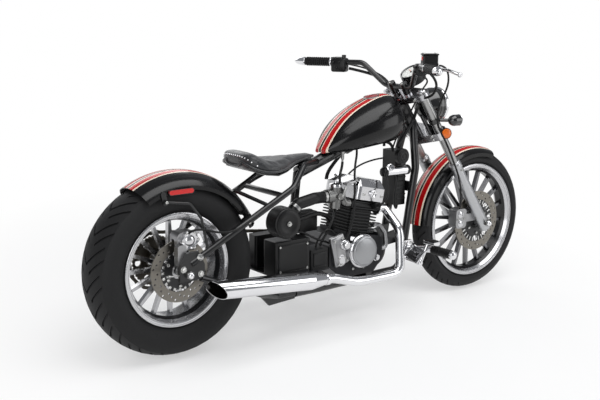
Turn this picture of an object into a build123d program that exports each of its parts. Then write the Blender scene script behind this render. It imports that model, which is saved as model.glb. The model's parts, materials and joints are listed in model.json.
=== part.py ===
"""Bobber motorcycle, parked on its side stand.

The machine is drawn upright, in millimetres: x runs forward from the rear axle, y to the rider's left
and z up from the floor. At the end every piece is leaned over onto the side stand and written out.
"""

import os
from math import asin, atan2, cos, degrees, pi, radians, sin

from build123d import *

# Stance
WHEELBASE = 1495.0
LEAN = 8.0  # degrees to the left, on the side stand
RAKE = 34.0  # degrees of the fork legs from vertical
FORK_OFFSET = 45.0  # steering axis behind the fork legs
FIT = 0.2  # gap between seated round pieces
RUNNING = 0.5  # gap at shafts and bearing faces

# Wheels
REAR_TYRE_RADIUS = 316.0
REAR_TYRE_WIDTH = 178.0
REAR_TYRE_WALL = 112.0  # tyre height above the rim's lip
REAR_TYRE_SHOULDER = (0.8, 0.88)  # share of the wall's height and of the half width
REAR_LIP_RADIUS = REAR_TYRE_RADIUS - REAR_TYRE_WALL
REAR_LIP_HALF = 66.0
REAR_SPOKES = 16
REAR_HUB_HALF = 70.0
FRONT_TYRE_RADIUS = 308.0
FRONT_TYRE_WIDTH = 92.0
FRONT_TYRE_WALL = 61.0
FRONT_TYRE_SHOULDER = (0.64, 0.86)
FRONT_LIP_RADIUS = FRONT_TYRE_RADIUS - FRONT_TYRE_WALL
FRONT_LIP_HALF = 40.0
FRONT_SPOKES = 18
FRONT_SPOKE_PHASE = 12.0  # degrees
FRONT_HUB_HALF = 57.5
LIP_THICK = 6.5
LIP_HEIGHT = 14.0
WELL_DEPTH = 12.0
RIM_WALL = 7.0
SPOKE_DEPTH = 20.0
SPOKE_ROOT = 17.0
SPOKE_TIP = 11.0
HUB_RADIUS = 46.0
AXLE_RADIUS = 9.0
AXLE_NUT_RADIUS = 15.0
AXLE_NUT_LENGTH = 14.0
SPACER_RADIUS = 17.0

# Brakes and chain
REAR_DISC_RADIUS = 112.0
FRONT_DISC_RADIUS = 130.0
DISC_THICK = 5.0
DISC_BAND = 34.0
DISC_CARRIER_RADIUS = 62.0
DISC_BORE = 30.0
DISC_HOLES = 12
DISC_HOLE_RADIUS = 4.0
DISC_CLEARANCE = 6.0
CHAIN_Y = 102.0
CHAIN_WIDTH = 14.0
CHAIN_HEIGHT = 12.0
SPROCKET_RADIUS = 92.0
SPROCKET_THICK = 7.0
SPROCKET_TEETH = 40
CHAIN_CLEARANCE = 5.0
DRIVE_X = 668.0
DRIVE_Z = 292.0
DRIVE_RADIUS = 41.0

# Frame tubes
RAIL_RADIUS = 16.0
SPINE_RADIUS = 24.0
STAY_RADIUS = 12.0
STAY_Y = 130.0
RAIL_Y = 96.0
RAIL_Z = 160.0
RAIL_END_X = 480.0
DOWNTUBE_Y = 62.0
DOWNTUBE_TOP = (-46.0, 20.0, 576.0)  # in fork coordinates
DOWNTUBE_KNEE = (1118.0, 575.0)
DOWNTUBE_FOOT = (1046.0, 160.0)
SPINE_FRONT = (-48.0, 614.0)  # in fork coordinates
SPINE_REAR = (560.0, 598.0)
SEAT_POST_FOOT_X = 512.0
STAY_TOP = (640.0, 16.0, 636.0)
STAY_NECK = (546.0, 62.0, 636.0)
STAY_KNEE = (446.0, 569.0)
STAY_REAR = (12.0, 34.0)  # from the rear axle
STAY_SPLIT_X = 500.0
AXLE_PLATE_THICK = 13.0
HEAD_TUBE_RADIUS = 27.0
TRAY_Z = 240.0
TRAY_THICK = 6.0

# Fork, measured along the legs from the front axle
LEG_Y = 95.0
TUBE_RADIUS = 18.5
SLIDER_RADIUS = 25.0
SLIDER_TOP = 316.0
SLIDER_BOTTOM = -34.0
LOWER_CLAMP = 472.0
LOWER_CLAMP_THICK = 34.0
UPPER_CLAMP = 672.0
UPPER_CLAMP_THICK = 24.0
TUBE_TOP = 702.0
STEM_RADIUS = 14.0

# Handlebar
BAR_RADIUS = 11.0
BAR_CLAMP = (-18.5, 732.5)  # in fork coordinates
BAR_CLAMP_HALF = 76.0
BAR_SHOULDER = (-56.0, 160.0, 90.0)  # from the clamp
BAR_TIP = (-178.0, 390.0, 88.0)  # from the clamp
BAR_BEND = 45.0
RISER_Y = 36.0
RISER_RADIUS = 16.0
GRIP_RADIUS = 16.0
GRIP_LENGTH = 116.0
PERCH_RADIUS = 18.0
PERCH_GAP = 6.0
PERCH_LENGTH = 62.0
MIRROR_HOLE_RADIUS = 5.0
MIRROR_HOLE_DEPTH = 15.0
MIRROR_BOSS_RISE = 10.0
BAR_END_LENGTH = 18.0
LEVER_RADIUS = 6.0

# Bodywork
FENDER_WALL = 3.0
REAR_FENDER_GAP = 21.0  # crown above the tyre
REAR_FENDER_SHIFT = (20.0, 6.0)  # the arc's centre from the axle
REAR_FENDER_HALF = 100.0
REAR_FENDER_DEPTH = 57.0  # crown down to the skirt's edge
REAR_FENDER_FRONT = 24.0
REAR_FENDER_REAR = 121.0
FRONT_FENDER_GAP = 15.0
FRONT_FENDER_HALF = 60.0
FRONT_FENDER_DEPTH = 42.0
FRONT_FENDER_FRONT = 71.0
FRONT_FENDER_REAR = 178.0
TANK_TUNNEL_GAP = 6.0
CAP_X = 926.0
CAP_Z = 860.0
CAP_SLOPE = 11.0
CAP_RADIUS = 30.0
CAP_HEIGHT = 12.0
SEAT_GAP = 0.3
PAN_THICK = 5.0
PAN_INSET = 10.0

# Seat sections: x, bottom, top and half width
SEAT_SECTIONS = (
    (276.0, 656.0, 694.0, 76.0),
    (300.0, 642.0, 698.0, 104.0),
    (340.0, 628.0, 678.0, 120.0),
    (390.0, 622.0, 662.0, 126.0),
    (450.0, 626.0, 662.0, 94.0),
    (520.0, 638.0, 669.0, 50.0),
    (614.0, 650.0, 671.0, 30.0),
)

# Engine
CASE_REAR = 635.0
CASE_FRONT = 905.0
CASE_HALF = 108.0
CASE_BOTTOM = 186.0
CASE_TOP = 345.0
CHAIN_POCKET_Y = 88.0
CHAIN_POCKET_FRONT = 738.0
COVER_X = 779.0
COVER_Z = 288.0
COVER_RADIUS = 68.0
COVER_DEPTH = 46.0
ENGINE_TILT = 12.0
BARREL_X = 808.0
BARREL_LENGTH = 138.0
BARREL_HALF = 94.0
BARREL_HEIGHT = 88.0
HEAD_HEIGHT = 44.0
ROCKER_HEIGHT = 84.0
ROCKER_HALF = 104.0
FIN_PITCH = 12.0
FIN_THICK = 4.5
FIN_REACH = 15.0
PORT_Y = 70.0
PORT_RADIUS = 21.0
PORT_REACH = 3.0

# Exhaust
HEADER_RADIUS = 18.0
MUFFLER_RADIUS = 34.0
MUFFLER_WALL = 3.0
MUFFLER_LENGTH = 500.0
MUFFLER_RISE = 4.5
MUFFLER_CONE = 70.0
SLASH_ANGLE = 41.0  # between the muffler and its cut's normal
SLASH_TURN = 43.0  # of the cut, outward from straight down
SLASH_BACK = 20.0
EXHAUST_Y = 188.0

# Side stand
STAND_PIVOT = (640.0, 122.0, 136.0)
STAND_FOOT = (700.0, 325.0)
STAND_FOLDED = (-235.0, 60.0, -20.0)
STAND_RADIUS = 10.0
STAND_PIN_RADIUS = 6.0
STAND_EYE_RADIUS = 15.0
STAND_EYE_LENGTH = 24.0
STAND_PAD = (64.0, 36.0, 8.0)
STAND_LUG_THICK = 8.0

rear_axle_at = Vector(0, 0, REAR_TYRE_RADIUS)


def crown_drop(width, wall, shoulder):
    """How far a tyre's crown sinks when the machine leans."""
    rise = (1 - shoulder[0]) * wall
    half = shoulder[1] * width / 2
    return (half**2 + rise**2) / (2 * rise) * (1 - cos(radians(LEAN)))


rear_drop = crown_drop(REAR_TYRE_WIDTH, REAR_TYRE_WALL, REAR_TYRE_SHOULDER)
front_drop = crown_drop(FRONT_TYRE_WIDTH, FRONT_TYRE_WALL, FRONT_TYRE_SHOULDER)
# Both tyres meet the floor once the machine leans
front_axle_at = Vector(WHEELBASE, 0, FRONT_TYRE_RADIUS - rear_drop + front_drop)
fork_up = Vector(-sin(radians(RAKE)), 0, cos(radians(RAKE)))
fork_forward = Vector(cos(radians(RAKE)), 0, sin(radians(RAKE)))
# Fork coordinates: x square to the legs and forward, y left, z up along the legs
FORK = Plane(origin=front_axle_at, x_dir=fork_forward, z_dir=fork_up)
# Engine coordinates: z up along the leaning barrel, x forward across it
ENGINE = Plane(
    origin=(BARREL_X, 0, CASE_TOP),
    x_dir=(cos(radians(ENGINE_TILT)), 0, -sin(radians(ENGINE_TILT))),
    z_dir=(sin(radians(ENGINE_TILT)), 0, cos(radians(ENGINE_TILT))),
)
rear_fender_radius = REAR_TYRE_RADIUS + REAR_FENDER_GAP
front_fender_radius = FRONT_TYRE_RADIUS + FRONT_FENDER_GAP
plate_inner = STAY_Y - AXLE_PLATE_THICK / 2
plate_outer = STAY_Y + AXLE_PLATE_THICK / 2
pieces = {}


def keep(builder, label):
    """Name a finished piece and keep it for writing."""
    builder.part.label = label
    pieces[label] = builder.part


def tube(points, radius, bend=None):
    """A round tube along straight runs with tangent bends."""
    with BuildPart() as run:
        with BuildLine() as path:
            FilletPolyline(*points, radius=bend)
        with BuildSketch(Plane(origin=path.line @ 0, z_dir=path.line % 0)):
            Circle(radius)
        sweep()
    return run.part


def rod(start, end, radius):
    """A straight round rod from one point to another."""
    start = Vector(start)
    end = Vector(end)
    with BuildPart() as run:
        with BuildSketch(Plane(origin=start, z_dir=end - start)):
            Circle(radius)
        extrude(amount=(end - start).length)
    return run.part


def side_plane(centre, y):
    """A plane square to the bike's y at the given y, its x forward and its y up."""
    return Plane(origin=(centre.X, y, centre.Z), x_dir=(1, 0, 0), z_dir=(0, -1, 0))


def section_plane(centre):
    """A wheel's section plane: x is the radius, y is the bike's y."""
    return Plane(origin=centre, x_dir=(0, 0, 1), z_dir=(-1, 0, 0))


def in_fork(forward, left, up):
    """A point given in fork coordinates."""
    return FORK.from_local_coords(Vector(forward, left, up))


def in_engine(forward, left, up):
    """A point given in engine coordinates."""
    return ENGINE.from_local_coords(Vector(forward, left, up))


def pan_under(x):
    """Height of the seat pan's underside at x, from the seat's sections."""
    for here, ahead in zip(SEAT_SECTIONS, SEAT_SECTIONS[1:]):
        if x <= ahead[0]:
            share = (x - here[0]) / (ahead[0] - here[0])
            return here[1] + share * (ahead[1] - here[1]) - SEAT_GAP - PAN_THICK
    return SEAT_SECTIONS[-1][1] - SEAT_GAP - PAN_THICK


def build_rim(centre, lip_radius, lip_half, spokes, phase, hub_half):
    """A cast wheel: a barrel with two lips, slim spokes and a bored hub."""
    seat = lip_radius - LIP_HEIGHT
    well = seat - WELL_DEPTH
    inside = well - RIM_WALL
    bead = lip_half - LIP_THICK
    with BuildPart() as rim:
        with BuildSketch(section_plane(centre)):
            with BuildLine():
                Polyline(
                    (lip_radius, lip_half),
                    (lip_radius, bead),
                    (seat, bead),
                    (seat, bead / 2),
                    (well, bead / 3),
                    (well, -bead / 3),
                    (seat, -bead / 2),
                    (seat, -bead),
                    (lip_radius, -bead),
                    (lip_radius, -lip_half),
                    (seat - 2, -lip_half),
                    (inside, -bead / 2),
                    (inside, bead / 2),
                    (seat - 2, lip_half),
                    close=True,
                )
            make_face()
        revolve(axis=Axis(centre, (0, 1, 0)))
        with BuildSketch(side_plane(centre, hub_half)):
            Circle(HUB_RADIUS)
        extrude(amount=2 * hub_half)
        with BuildSketch(side_plane(centre, SPOKE_DEPTH / 2)):
            root = HUB_RADIUS - 6
            tip = inside + RIM_WALL / 2
            flank = degrees(atan2(tip - root, (SPOKE_ROOT - SPOKE_TIP) / 2))
            with PolarLocations((root + tip) / 2, spokes, start_angle=phase):
                Trapezoid(SPOKE_ROOT, tip - root, flank, rotation=-90)
        extrude(amount=SPOKE_DEPTH)
        with BuildSketch(side_plane(centre, hub_half)):
            Circle(AXLE_RADIUS + RUNNING)
        extrude(amount=2 * hub_half, mode=Mode.SUBTRACT)
    return rim


def build_tyre(centre, radius, width, lip_radius, lip_half, round_at):
    """A tyre: bead, bulging walls and a round crown."""
    seat = lip_radius - LIP_HEIGHT + FIT
    bead = lip_half - LIP_THICK - FIT
    half = width / 2
    wall = lip_radius + 0.65 * round_at[0] * (radius - lip_radius)
    shoulder = lip_radius + round_at[0] * (radius - lip_radius)
    edge = half * round_at[1]
    with BuildPart() as tyre:
        with BuildSketch(section_plane(centre)):
            with BuildLine():
                foot = Line((seat, bead), (seat, -bead))
                right = Line(foot @ 1, (lip_radius + 2, -bead))
                flank = ThreePointArc(right @ 1, (wall, -half), (shoulder, -edge))
                crown = ThreePointArc(flank @ 1, (radius, 0), (shoulder, edge))
                other = ThreePointArc(crown @ 1, (wall, half), (lip_radius + 2, bead))
                Line(other @ 1, foot @ 0)
            make_face()
        revolve(axis=Axis(centre, (0, 1, 0)))
    return tyre


def build_disc(centre, radius, inner_y):
    """A drilled brake disc with a slotted carrier, on the right face of a hub."""
    band = radius - DISC_BAND
    with BuildPart() as disc:
        with BuildSketch(side_plane(centre, inner_y)):
            Circle(radius)
            Circle(DISC_BORE, mode=Mode.SUBTRACT)
            with PolarLocations((band + DISC_CARRIER_RADIUS) / 2, 8):
                SlotOverall(36, band - DISC_CARRIER_RADIUS - 8, rotation=90, mode=Mode.SUBTRACT)
            for share, turn in ((0.25, 0), (0.5, 10), (0.75, 20)):
                with PolarLocations(band + DISC_BAND * share, DISC_HOLES, start_angle=turn):
                    Circle(DISC_HOLE_RADIUS, mode=Mode.SUBTRACT)
        extrude(amount=DISC_THICK)
    return disc


def build_fender(centre, radius, half, skirt, front, rear):
    """A wheel cover: a crowned section with flat skirts, turned about the axle."""
    eave = radius - 0.44 * half
    ridge = radius - 0.15 * half
    start = Vector(cos(radians(front)), 0, sin(radians(front)))
    plane = Plane(origin=centre, x_dir=start, z_dir=start.cross(Vector(0, 1, 0)))
    with BuildPart() as fender:
        with BuildSketch(plane):
            for wall, mode in ((0, Mode.ADD), (FENDER_WALL, Mode.SUBTRACT)):
                side = half - wall
                shoulder = half * 0.66
                with BuildLine():
                    near = Line((skirt, -side), (eave, -side))
                    edge = ThreePointArc(
                        near @ 1,
                        (radius - 0.29 * half - wall, -half * 0.89 + wall / 2),
                        (ridge - wall, -shoulder),
                    )
                    top = ThreePointArc(edge @ 1, (radius - wall, 0), (ridge - wall, shoulder))
                    far = ThreePointArc(
                        top @ 1, (radius - 0.29 * half - wall, half * 0.89 - wall / 2), (eave, side)
                    )
                    Line(far @ 1, (skirt, side))
                    Line((skirt, side), (skirt, -side))
                make_face(mode=mode)
        revolve(axis=Axis(centre, (0, -1, 0)), revolution_arc=rear - front)
    return fender


# Rear wheel: cast rim, tyre, disc on the right and sprocket on the left
rear_rim = build_rim(rear_axle_at, REAR_LIP_RADIUS, REAR_LIP_HALF, REAR_SPOKES, 0, REAR_HUB_HALF)
keep(rear_rim, "rear_rim")
rear_tyre = build_tyre(
    rear_axle_at, REAR_TYRE_RADIUS, REAR_TYRE_WIDTH, REAR_LIP_RADIUS, REAR_LIP_HALF, REAR_TYRE_SHOULDER
)
keep(rear_tyre, "rear_tyre")
rear_disc = build_disc(rear_axle_at, REAR_DISC_RADIUS, -REAR_HUB_HALF)
keep(rear_disc, "rear_disc")

with BuildPart() as rear_sprocket:
    sprocket_outer = CHAIN_Y + SPROCKET_THICK / 2
    with BuildSketch(side_plane(rear_axle_at, sprocket_outer)):
        Circle(HUB_RADIUS)
        Circle(AXLE_RADIUS + RUNNING, mode=Mode.SUBTRACT)
    extrude(amount=sprocket_outer - REAR_HUB_HALF)
    with BuildSketch(side_plane(rear_axle_at, sprocket_outer)):
        Circle(SPROCKET_RADIUS)
        Circle(HUB_RADIUS - 4, mode=Mode.SUBTRACT)
        with PolarLocations(SPROCKET_RADIUS - 22, 6):
            Circle(12, mode=Mode.SUBTRACT)
        with PolarLocations(SPROCKET_RADIUS + 1, SPROCKET_TEETH):
            Circle(0.6 * pi * SPROCKET_RADIUS / SPROCKET_TEETH, mode=Mode.SUBTRACT)
    extrude(amount=SPROCKET_THICK)
keep(rear_sprocket, "rear_sprocket")

# Front wheel: cast rim, tyre and one disc on the right
front_rim = build_rim(
    front_axle_at, FRONT_LIP_RADIUS, FRONT_LIP_HALF, FRONT_SPOKES, FRONT_SPOKE_PHASE, FRONT_HUB_HALF
)
keep(front_rim, "front_rim")
front_tyre = build_tyre(
    front_axle_at,
    FRONT_TYRE_RADIUS,
    FRONT_TYRE_WIDTH,
    FRONT_LIP_RADIUS,
    FRONT_LIP_HALF,
    FRONT_TYRE_SHOULDER,
)
keep(front_tyre, "front_tyre")
front_disc = build_disc(front_axle_at, FRONT_DISC_RADIUS, -FRONT_HUB_HALF)
keep(front_disc, "front_disc")

# Rear axle: shaft, spacers and nuts
with BuildPart() as rear_axle:
    add(rod((0, -plate_outer, REAR_TYRE_RADIUS), (0, plate_outer, REAR_TYRE_RADIUS), AXLE_RADIUS))
    for spacer_from, side in ((REAR_HUB_HALF + DISC_THICK, -1), (sprocket_outer, 1)):
        spacer_start = side * (spacer_from + RUNNING)
        add(rod((0, spacer_start, REAR_TYRE_RADIUS), (0, side * plate_inner, REAR_TYRE_RADIUS), SPACER_RADIUS))
        with BuildSketch(Plane(origin=(0, side * plate_outer, REAR_TYRE_RADIUS), z_dir=(0, side, 0))):
            RegularPolygon(AXLE_NUT_RADIUS, 6)
        extrude(amount=AXLE_NUT_LENGTH)
keep(rear_axle, "rear_axle")

# Rear frame: axle plates, upper and lower stays, seat strut and fender stays
FENDER_BOLT = (245.0, 468.0)
FENDER_TAB = (-68.0, 570.0)
HANGER = (177.0, 247.0)
upper_stay = tube(
    [
        (STAY_REAR[0], -STAY_Y, REAR_TYRE_RADIUS + STAY_REAR[1]),
        (STAY_KNEE[0], -STAY_Y, STAY_KNEE[1]),
        (STAY_NECK[0], -STAY_NECK[1], STAY_NECK[2]),
        (STAY_TOP[0], -STAY_TOP[1], STAY_TOP[2]),
    ],
    STAY_RADIUS,
    bend=60,
)
lower_stay = tube(
    [
        (STAY_REAR[0] + 40, -STAY_Y, REAR_TYRE_RADIUS - 20),
        (RAIL_END_X - 175, -STAY_Y, RAIL_Z + 32),
        (RAIL_END_X - 85, -RAIL_Y, RAIL_Z),
        (RAIL_END_X, -RAIL_Y, RAIL_Z),
    ],
    STAY_RADIUS,
    bend=40,
)
SEAT_STRUT_FOOT = (277.0, 558.0)
SEAT_STRUT_TOP = 372.0
STRUT_RADIUS = 7.0
fender_stay = tube(
    [
        (FENDER_TAB[0], -REAR_FENDER_HALF - 8, FENDER_TAB[1]),
        (24, -REAR_FENDER_HALF - 10, 556),
        (66, -REAR_FENDER_HALF - 14, 500),
        (82, -STAY_Y, REAR_TYRE_RADIUS + 70),
    ],
    5,
    bend=24,
)
with BuildPart() as rear_frame:
    with BuildSketch(side_plane(rear_axle_at, -plate_inner)):
        with BuildLine():
            Polyline((-34, -24), (-34, 29), (-8, 76), (40, 76), (64, 29), (64, -24), close=True)
        make_face()
    extrude(amount=AXLE_PLATE_THICK)
    add(split(upper_stay, Plane.YZ.offset(STAY_SPLIT_X), keep=Keep.BOTTOM, mode=Mode.PRIVATE))
    add(lower_stay)
    add(rod((SEAT_STRUT_FOOT[0], 0, SEAT_STRUT_FOOT[1]), (340, -STAY_Y, 515), STRUT_RADIUS))
    add(fender_stay)
    # Tabs that carry the fender's edge at the bolt and at the stay
    for tab_x, tab_z in (FENDER_BOLT, FENDER_TAB):
        tab_turn = degrees(atan2(tab_z - rear_axle_at.Z, tab_x - rear_axle_at.X))
        with BuildSketch(Plane.XZ.offset(REAR_FENDER_HALF)):
            with Locations(Location((tab_x, tab_z), tab_turn)):
                with Locations((12, 0)):
                    SlotOverall(50, 18)
        extrude(amount=6)
    tab_at = Vector(FENDER_TAB[0], -REAR_FENDER_HALF, FENDER_TAB[1])
    add(rod(tab_at, tab_at - Vector(0, 13, 0), 7))
    bolt_at = Vector(FENDER_BOLT[0], -REAR_FENDER_HALF, FENDER_BOLT[1])
    add(rod(bolt_at, bolt_at - Vector(0, STAY_Y - REAR_FENDER_HALF, 0), 6))
    hanger_at = Vector(HANGER[0], -STAY_Y, HANGER[1])
    hanger_reach = EXHAUST_Y - MUFFLER_RADIUS - SEAT_GAP - STAY_Y
    add(rod(hanger_at, hanger_at - Vector(0, hanger_reach, 0), 7))
    with BuildSketch(Plane.XZ.offset(RAIL_Y - 5)):
        with BuildLine():
            Polyline((300, 196), (360, 132), (478, 140), (478, 162), (392, 168), close=True)
        make_face()
    extrude(amount=10)
    mirror(about=Plane.XZ)
    add(rod((400, -STAY_Y, 546), (400, STAY_Y, 546), 10))
    strut_end = (SEAT_STRUT_TOP, 0, pan_under(SEAT_STRUT_TOP) - STRUT_RADIUS)
    add(rod((SEAT_STRUT_FOOT[0], 0, SEAT_STRUT_FOOT[1]), strut_end, STRUT_RADIUS))
    with BuildSketch(Plane.XZ.offset(-plate_outer)):
        with Locations((rear_axle_at.X, REAR_TYRE_RADIUS)):
            Circle(AXLE_RADIUS + FIT)
    extrude(amount=2 * plate_outer, mode=Mode.SUBTRACT)
keep(rear_frame, "rear_frame")

# Main frame: head tube, spine, seat post, twin downtubes and lower rails
stand_pivot = Vector(STAND_PIVOT)
floor_up = Vector(0, -sin(radians(LEAN)), cos(radians(LEAN)))
foot_z = (STAND_FOOT[1] * sin(radians(LEAN)) - rear_drop) / cos(radians(LEAN))
stand_foot = Vector(STAND_FOOT[0], STAND_FOOT[1], foot_z)
stand_out = stand_foot - stand_pivot
stand_axis = stand_out.cross(Vector(STAND_FOLDED)).normalized()
STAND = Plane(origin=stand_pivot, x_dir=(1, 0, 0), z_dir=stand_axis)
downtube = tube(
    [
        in_fork(DOWNTUBE_TOP[0], -DOWNTUBE_TOP[1], DOWNTUBE_TOP[2]),
        (DOWNTUBE_KNEE[0], -DOWNTUBE_Y, DOWNTUBE_KNEE[1]),
        (DOWNTUBE_FOOT[0], -DOWNTUBE_Y, DOWNTUBE_FOOT[1]),
        (RAIL_END_X + 120, -RAIL_Y, RAIL_Z),
        (RAIL_END_X, -RAIL_Y, RAIL_Z),
    ],
    RAIL_RADIUS,
    bend=55,
)
spine_start = in_fork(SPINE_FRONT[0], 0, SPINE_FRONT[1])
spine_end = Vector(SPINE_REAR[0], 0, SPINE_REAR[1])
spine_along = (spine_start - spine_end).normalized()
with BuildPart() as main_frame:
    add(downtube)
    add(split(upper_stay, Plane.YZ.offset(STAY_SPLIT_X), keep=Keep.TOP, mode=Mode.PRIVATE))
    # Pads under the crankcase, posts under the tray and the front engine plate
    for pad_x in (722.0, 826.0):
        with BuildSketch(Plane.XY.offset(RAIL_Z)):
            with Locations((pad_x + 14, -RAIL_Y + 8)):
                Rectangle(28, 34)
        extrude(amount=CASE_BOTTOM - RAIL_Z)
    for post_x in (500.0, 612.0):
        add(rod((post_x, -RAIL_Y + 14, RAIL_Z), (post_x, -RAIL_Y + 14, TRAY_Z - TRAY_THICK / 2), 7))
    with BuildSketch(Plane.XZ.offset(38)):
        with BuildLine():
            Polyline((CASE_FRONT, 258), (CASE_FRONT, 300), (1075, 330), (1064, 272), close=True)
        make_face()
    extrude(amount=10)
    mirror(about=Plane.XZ)
    add(rod(spine_end, spine_start, SPINE_RADIUS))
    for bush in (0.42, 0.8):
        bush_at = spine_end + (spine_start - spine_end) * bush
        bush_end = bush_at + spine_along * 20
        add(rod(bush_at, bush_end, SPINE_RADIUS + TANK_TUNNEL_GAP - SEAT_GAP))
    add(rod(spine_end, (SEAT_POST_FOOT_X, 0, RAIL_Z + 4), RAIL_RADIUS))
    post_foot = Vector(SEAT_POST_FOOT_X, 0, RAIL_Z + 4)
    add(rod(post_foot - Vector(0, RAIL_Y, 0), post_foot + Vector(0, RAIL_Y, 0), RAIL_RADIUS - 2.5))
    with BuildSketch(Plane.XY.offset(TRAY_Z - TRAY_THICK)):
        with Locations((504, -15)):
            Rectangle(248, 206)
    extrude(amount=TRAY_THICK)
    with BuildSketch(Plane.XY.offset(SPINE_REAR[1] + 10)):
        with Locations((590, 0)):
            Rectangle(30, 30)
    extrude(amount=pan_under(575) - SEAT_GAP - SPINE_REAR[1] - 10)
    with BuildSketch(Plane.YZ.offset(1085)):
        with Locations((0, 500)):
            Rectangle(2 * DOWNTUBE_Y, 40)
    extrude(amount=10)
    # Head tube, bored for the stem
    head_low = LOWER_CLAMP + LOWER_CLAMP_THICK + RUNNING
    head_high = UPPER_CLAMP - RUNNING
    add(rod(in_fork(-FORK_OFFSET, 0, head_low), in_fork(-FORK_OFFSET, 0, head_high), HEAD_TUBE_RADIUS))
    with BuildSketch(FORK.offset(head_low - 20)):
        with Locations((-FORK_OFFSET, 0)):
            Circle(STEM_RADIUS + RUNNING)
    extrude(amount=head_high - head_low + 40, mode=Mode.SUBTRACT)
    # Side stand lug: plate, pin and pin head on the left rail
    lug_z = STAND_EYE_LENGTH / 2 + RUNNING
    with BuildSketch(STAND.offset(lug_z)):
        with Locations((0, -16)):
            Rectangle(36, 60)
    extrude(amount=STAND_LUG_THICK)
    with BuildSketch(STAND.offset(-lug_z - 6)):
        Circle(STAND_PIN_RADIUS)
    extrude(amount=2 * lug_z + 8)
    with BuildSketch(STAND.offset(-lug_z - 6)):
        RegularPolygon(STAND_PIN_RADIUS + 5, 6)
    extrude(amount=6)
keep(main_frame, "main_frame")

# Side stand: eye, leg and foot, its pad flat on the floor
with BuildPart() as side_stand:
    with BuildSketch(STAND.offset(-STAND_EYE_LENGTH / 2)):
        Circle(STAND_EYE_RADIUS)
    extrude(amount=STAND_EYE_LENGTH)
    add(rod(stand_pivot, stand_foot + floor_up * 12, STAND_RADIUS))
    with BuildSketch(Plane(origin=stand_foot, x_dir=(1, 0, 0), z_dir=floor_up)):
        RectangleRounded(STAND_PAD[0], STAND_PAD[1], 12)
    extrude(amount=STAND_PAD[2])
    with BuildSketch(STAND.offset(-STAND_EYE_LENGTH / 2)):
        Circle(STAND_PIN_RADIUS + RUNNING)
    extrude(amount=STAND_EYE_LENGTH, mode=Mode.SUBTRACT)
keep(side_stand, "side_stand")

# Bodywork: fenders, lamps on the rear one, tank and cap
rear_fender = build_fender(
    rear_axle_at + Vector(REAR_FENDER_SHIFT[0], 0, REAR_FENDER_SHIFT[1]),
    rear_fender_radius,
    REAR_FENDER_HALF,
    rear_fender_radius - REAR_FENDER_DEPTH,
    REAR_FENDER_FRONT,
    REAR_FENDER_REAR,
)
keep(rear_fender, "rear_fender")

TAIL_LAMP = (-6.0, 600.0)
with BuildPart() as tail_lamps:
    with BuildSketch(Plane.XZ.offset(REAR_FENDER_HALF)):
        with Locations(TAIL_LAMP):
            SlotOverall(94, 16)
    extrude(amount=8)
    mirror(about=Plane.XZ)
keep(tail_lamps, "tail_lamps")

# Tank sections: x, bottom, top and half width
TANK_SECTIONS = (
    (668.0, 664.0, 680.0, 28.0),
    (714.0, 668.0, 745.0, 66.0),
    (790.0, 676.0, 812.0, 104.0),
    (890.0, 690.0, 860.0, 124.0),
    (985.0, 704.0, 880.0, 118.0),
    (1036.0, 730.0, 846.0, 80.0),
)
CAP = Plane(
    origin=(CAP_X, 0, CAP_Z),
    x_dir=(cos(radians(CAP_SLOPE)), 0, sin(radians(CAP_SLOPE))),
    z_dir=(-sin(radians(CAP_SLOPE)), 0, cos(radians(CAP_SLOPE))),
)
with BuildPart() as fuel_tank:
    for x, bottom, top, half in TANK_SECTIONS:
        height = top - bottom
        with BuildSketch(Plane.YZ.offset(x)):
            with BuildLine():
                base = Line((-0.72 * half, bottom), (0.72 * half, bottom))
                left = ThreePointArc(
                    base @ 1, (half, bottom + 0.36 * height), (0.72 * half, bottom + 0.8 * height)
                )
                over = ThreePointArc(left @ 1, (0, top), (-0.72 * half, bottom + 0.8 * height))
                ThreePointArc(over @ 1, (-half, bottom + 0.36 * height), base @ 0)
            make_face()
    loft()
    add(rod(spine_end, spine_start, SPINE_RADIUS + TANK_TUNNEL_GAP), mode=Mode.SUBTRACT)
    with BuildSketch(CAP):
        Circle(CAP_RADIUS + FIT)
    extrude(amount=3 * CAP_HEIGHT, mode=Mode.SUBTRACT)
keep(fuel_tank, "fuel_tank")

with BuildPart() as filler_cap:
    with BuildSketch(CAP):
        Circle(CAP_RADIUS)
    extrude(amount=CAP_HEIGHT)
    fillet(filler_cap.edges().group_by(Axis(CAP.origin, CAP.z_dir))[-1], 3)
keep(filler_cap, "filler_cap")

# Solo seat, soft, on its steel pan
with BuildPart() as seat:
    for x, bottom, top, half in SEAT_SECTIONS:
        with BuildSketch(Plane.YZ.offset(x)):
            with Locations((0, (bottom + top) / 2)):
                RectangleRounded(2 * half, top - bottom, (top - bottom) * 0.35)
    loft(ruled=True)
keep(seat, "seat")

with BuildPart() as seat_pan:
    for x, bottom, top, half in SEAT_SECTIONS[1:]:
        with BuildSketch(Plane.YZ.offset(x)):
            with Locations((0, bottom - SEAT_GAP - PAN_THICK / 2)):
                Rectangle(2 * (half - PAN_INSET), PAN_THICK)
    loft(ruled=True)
keep(seat_pan, "seat_pan")

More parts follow.
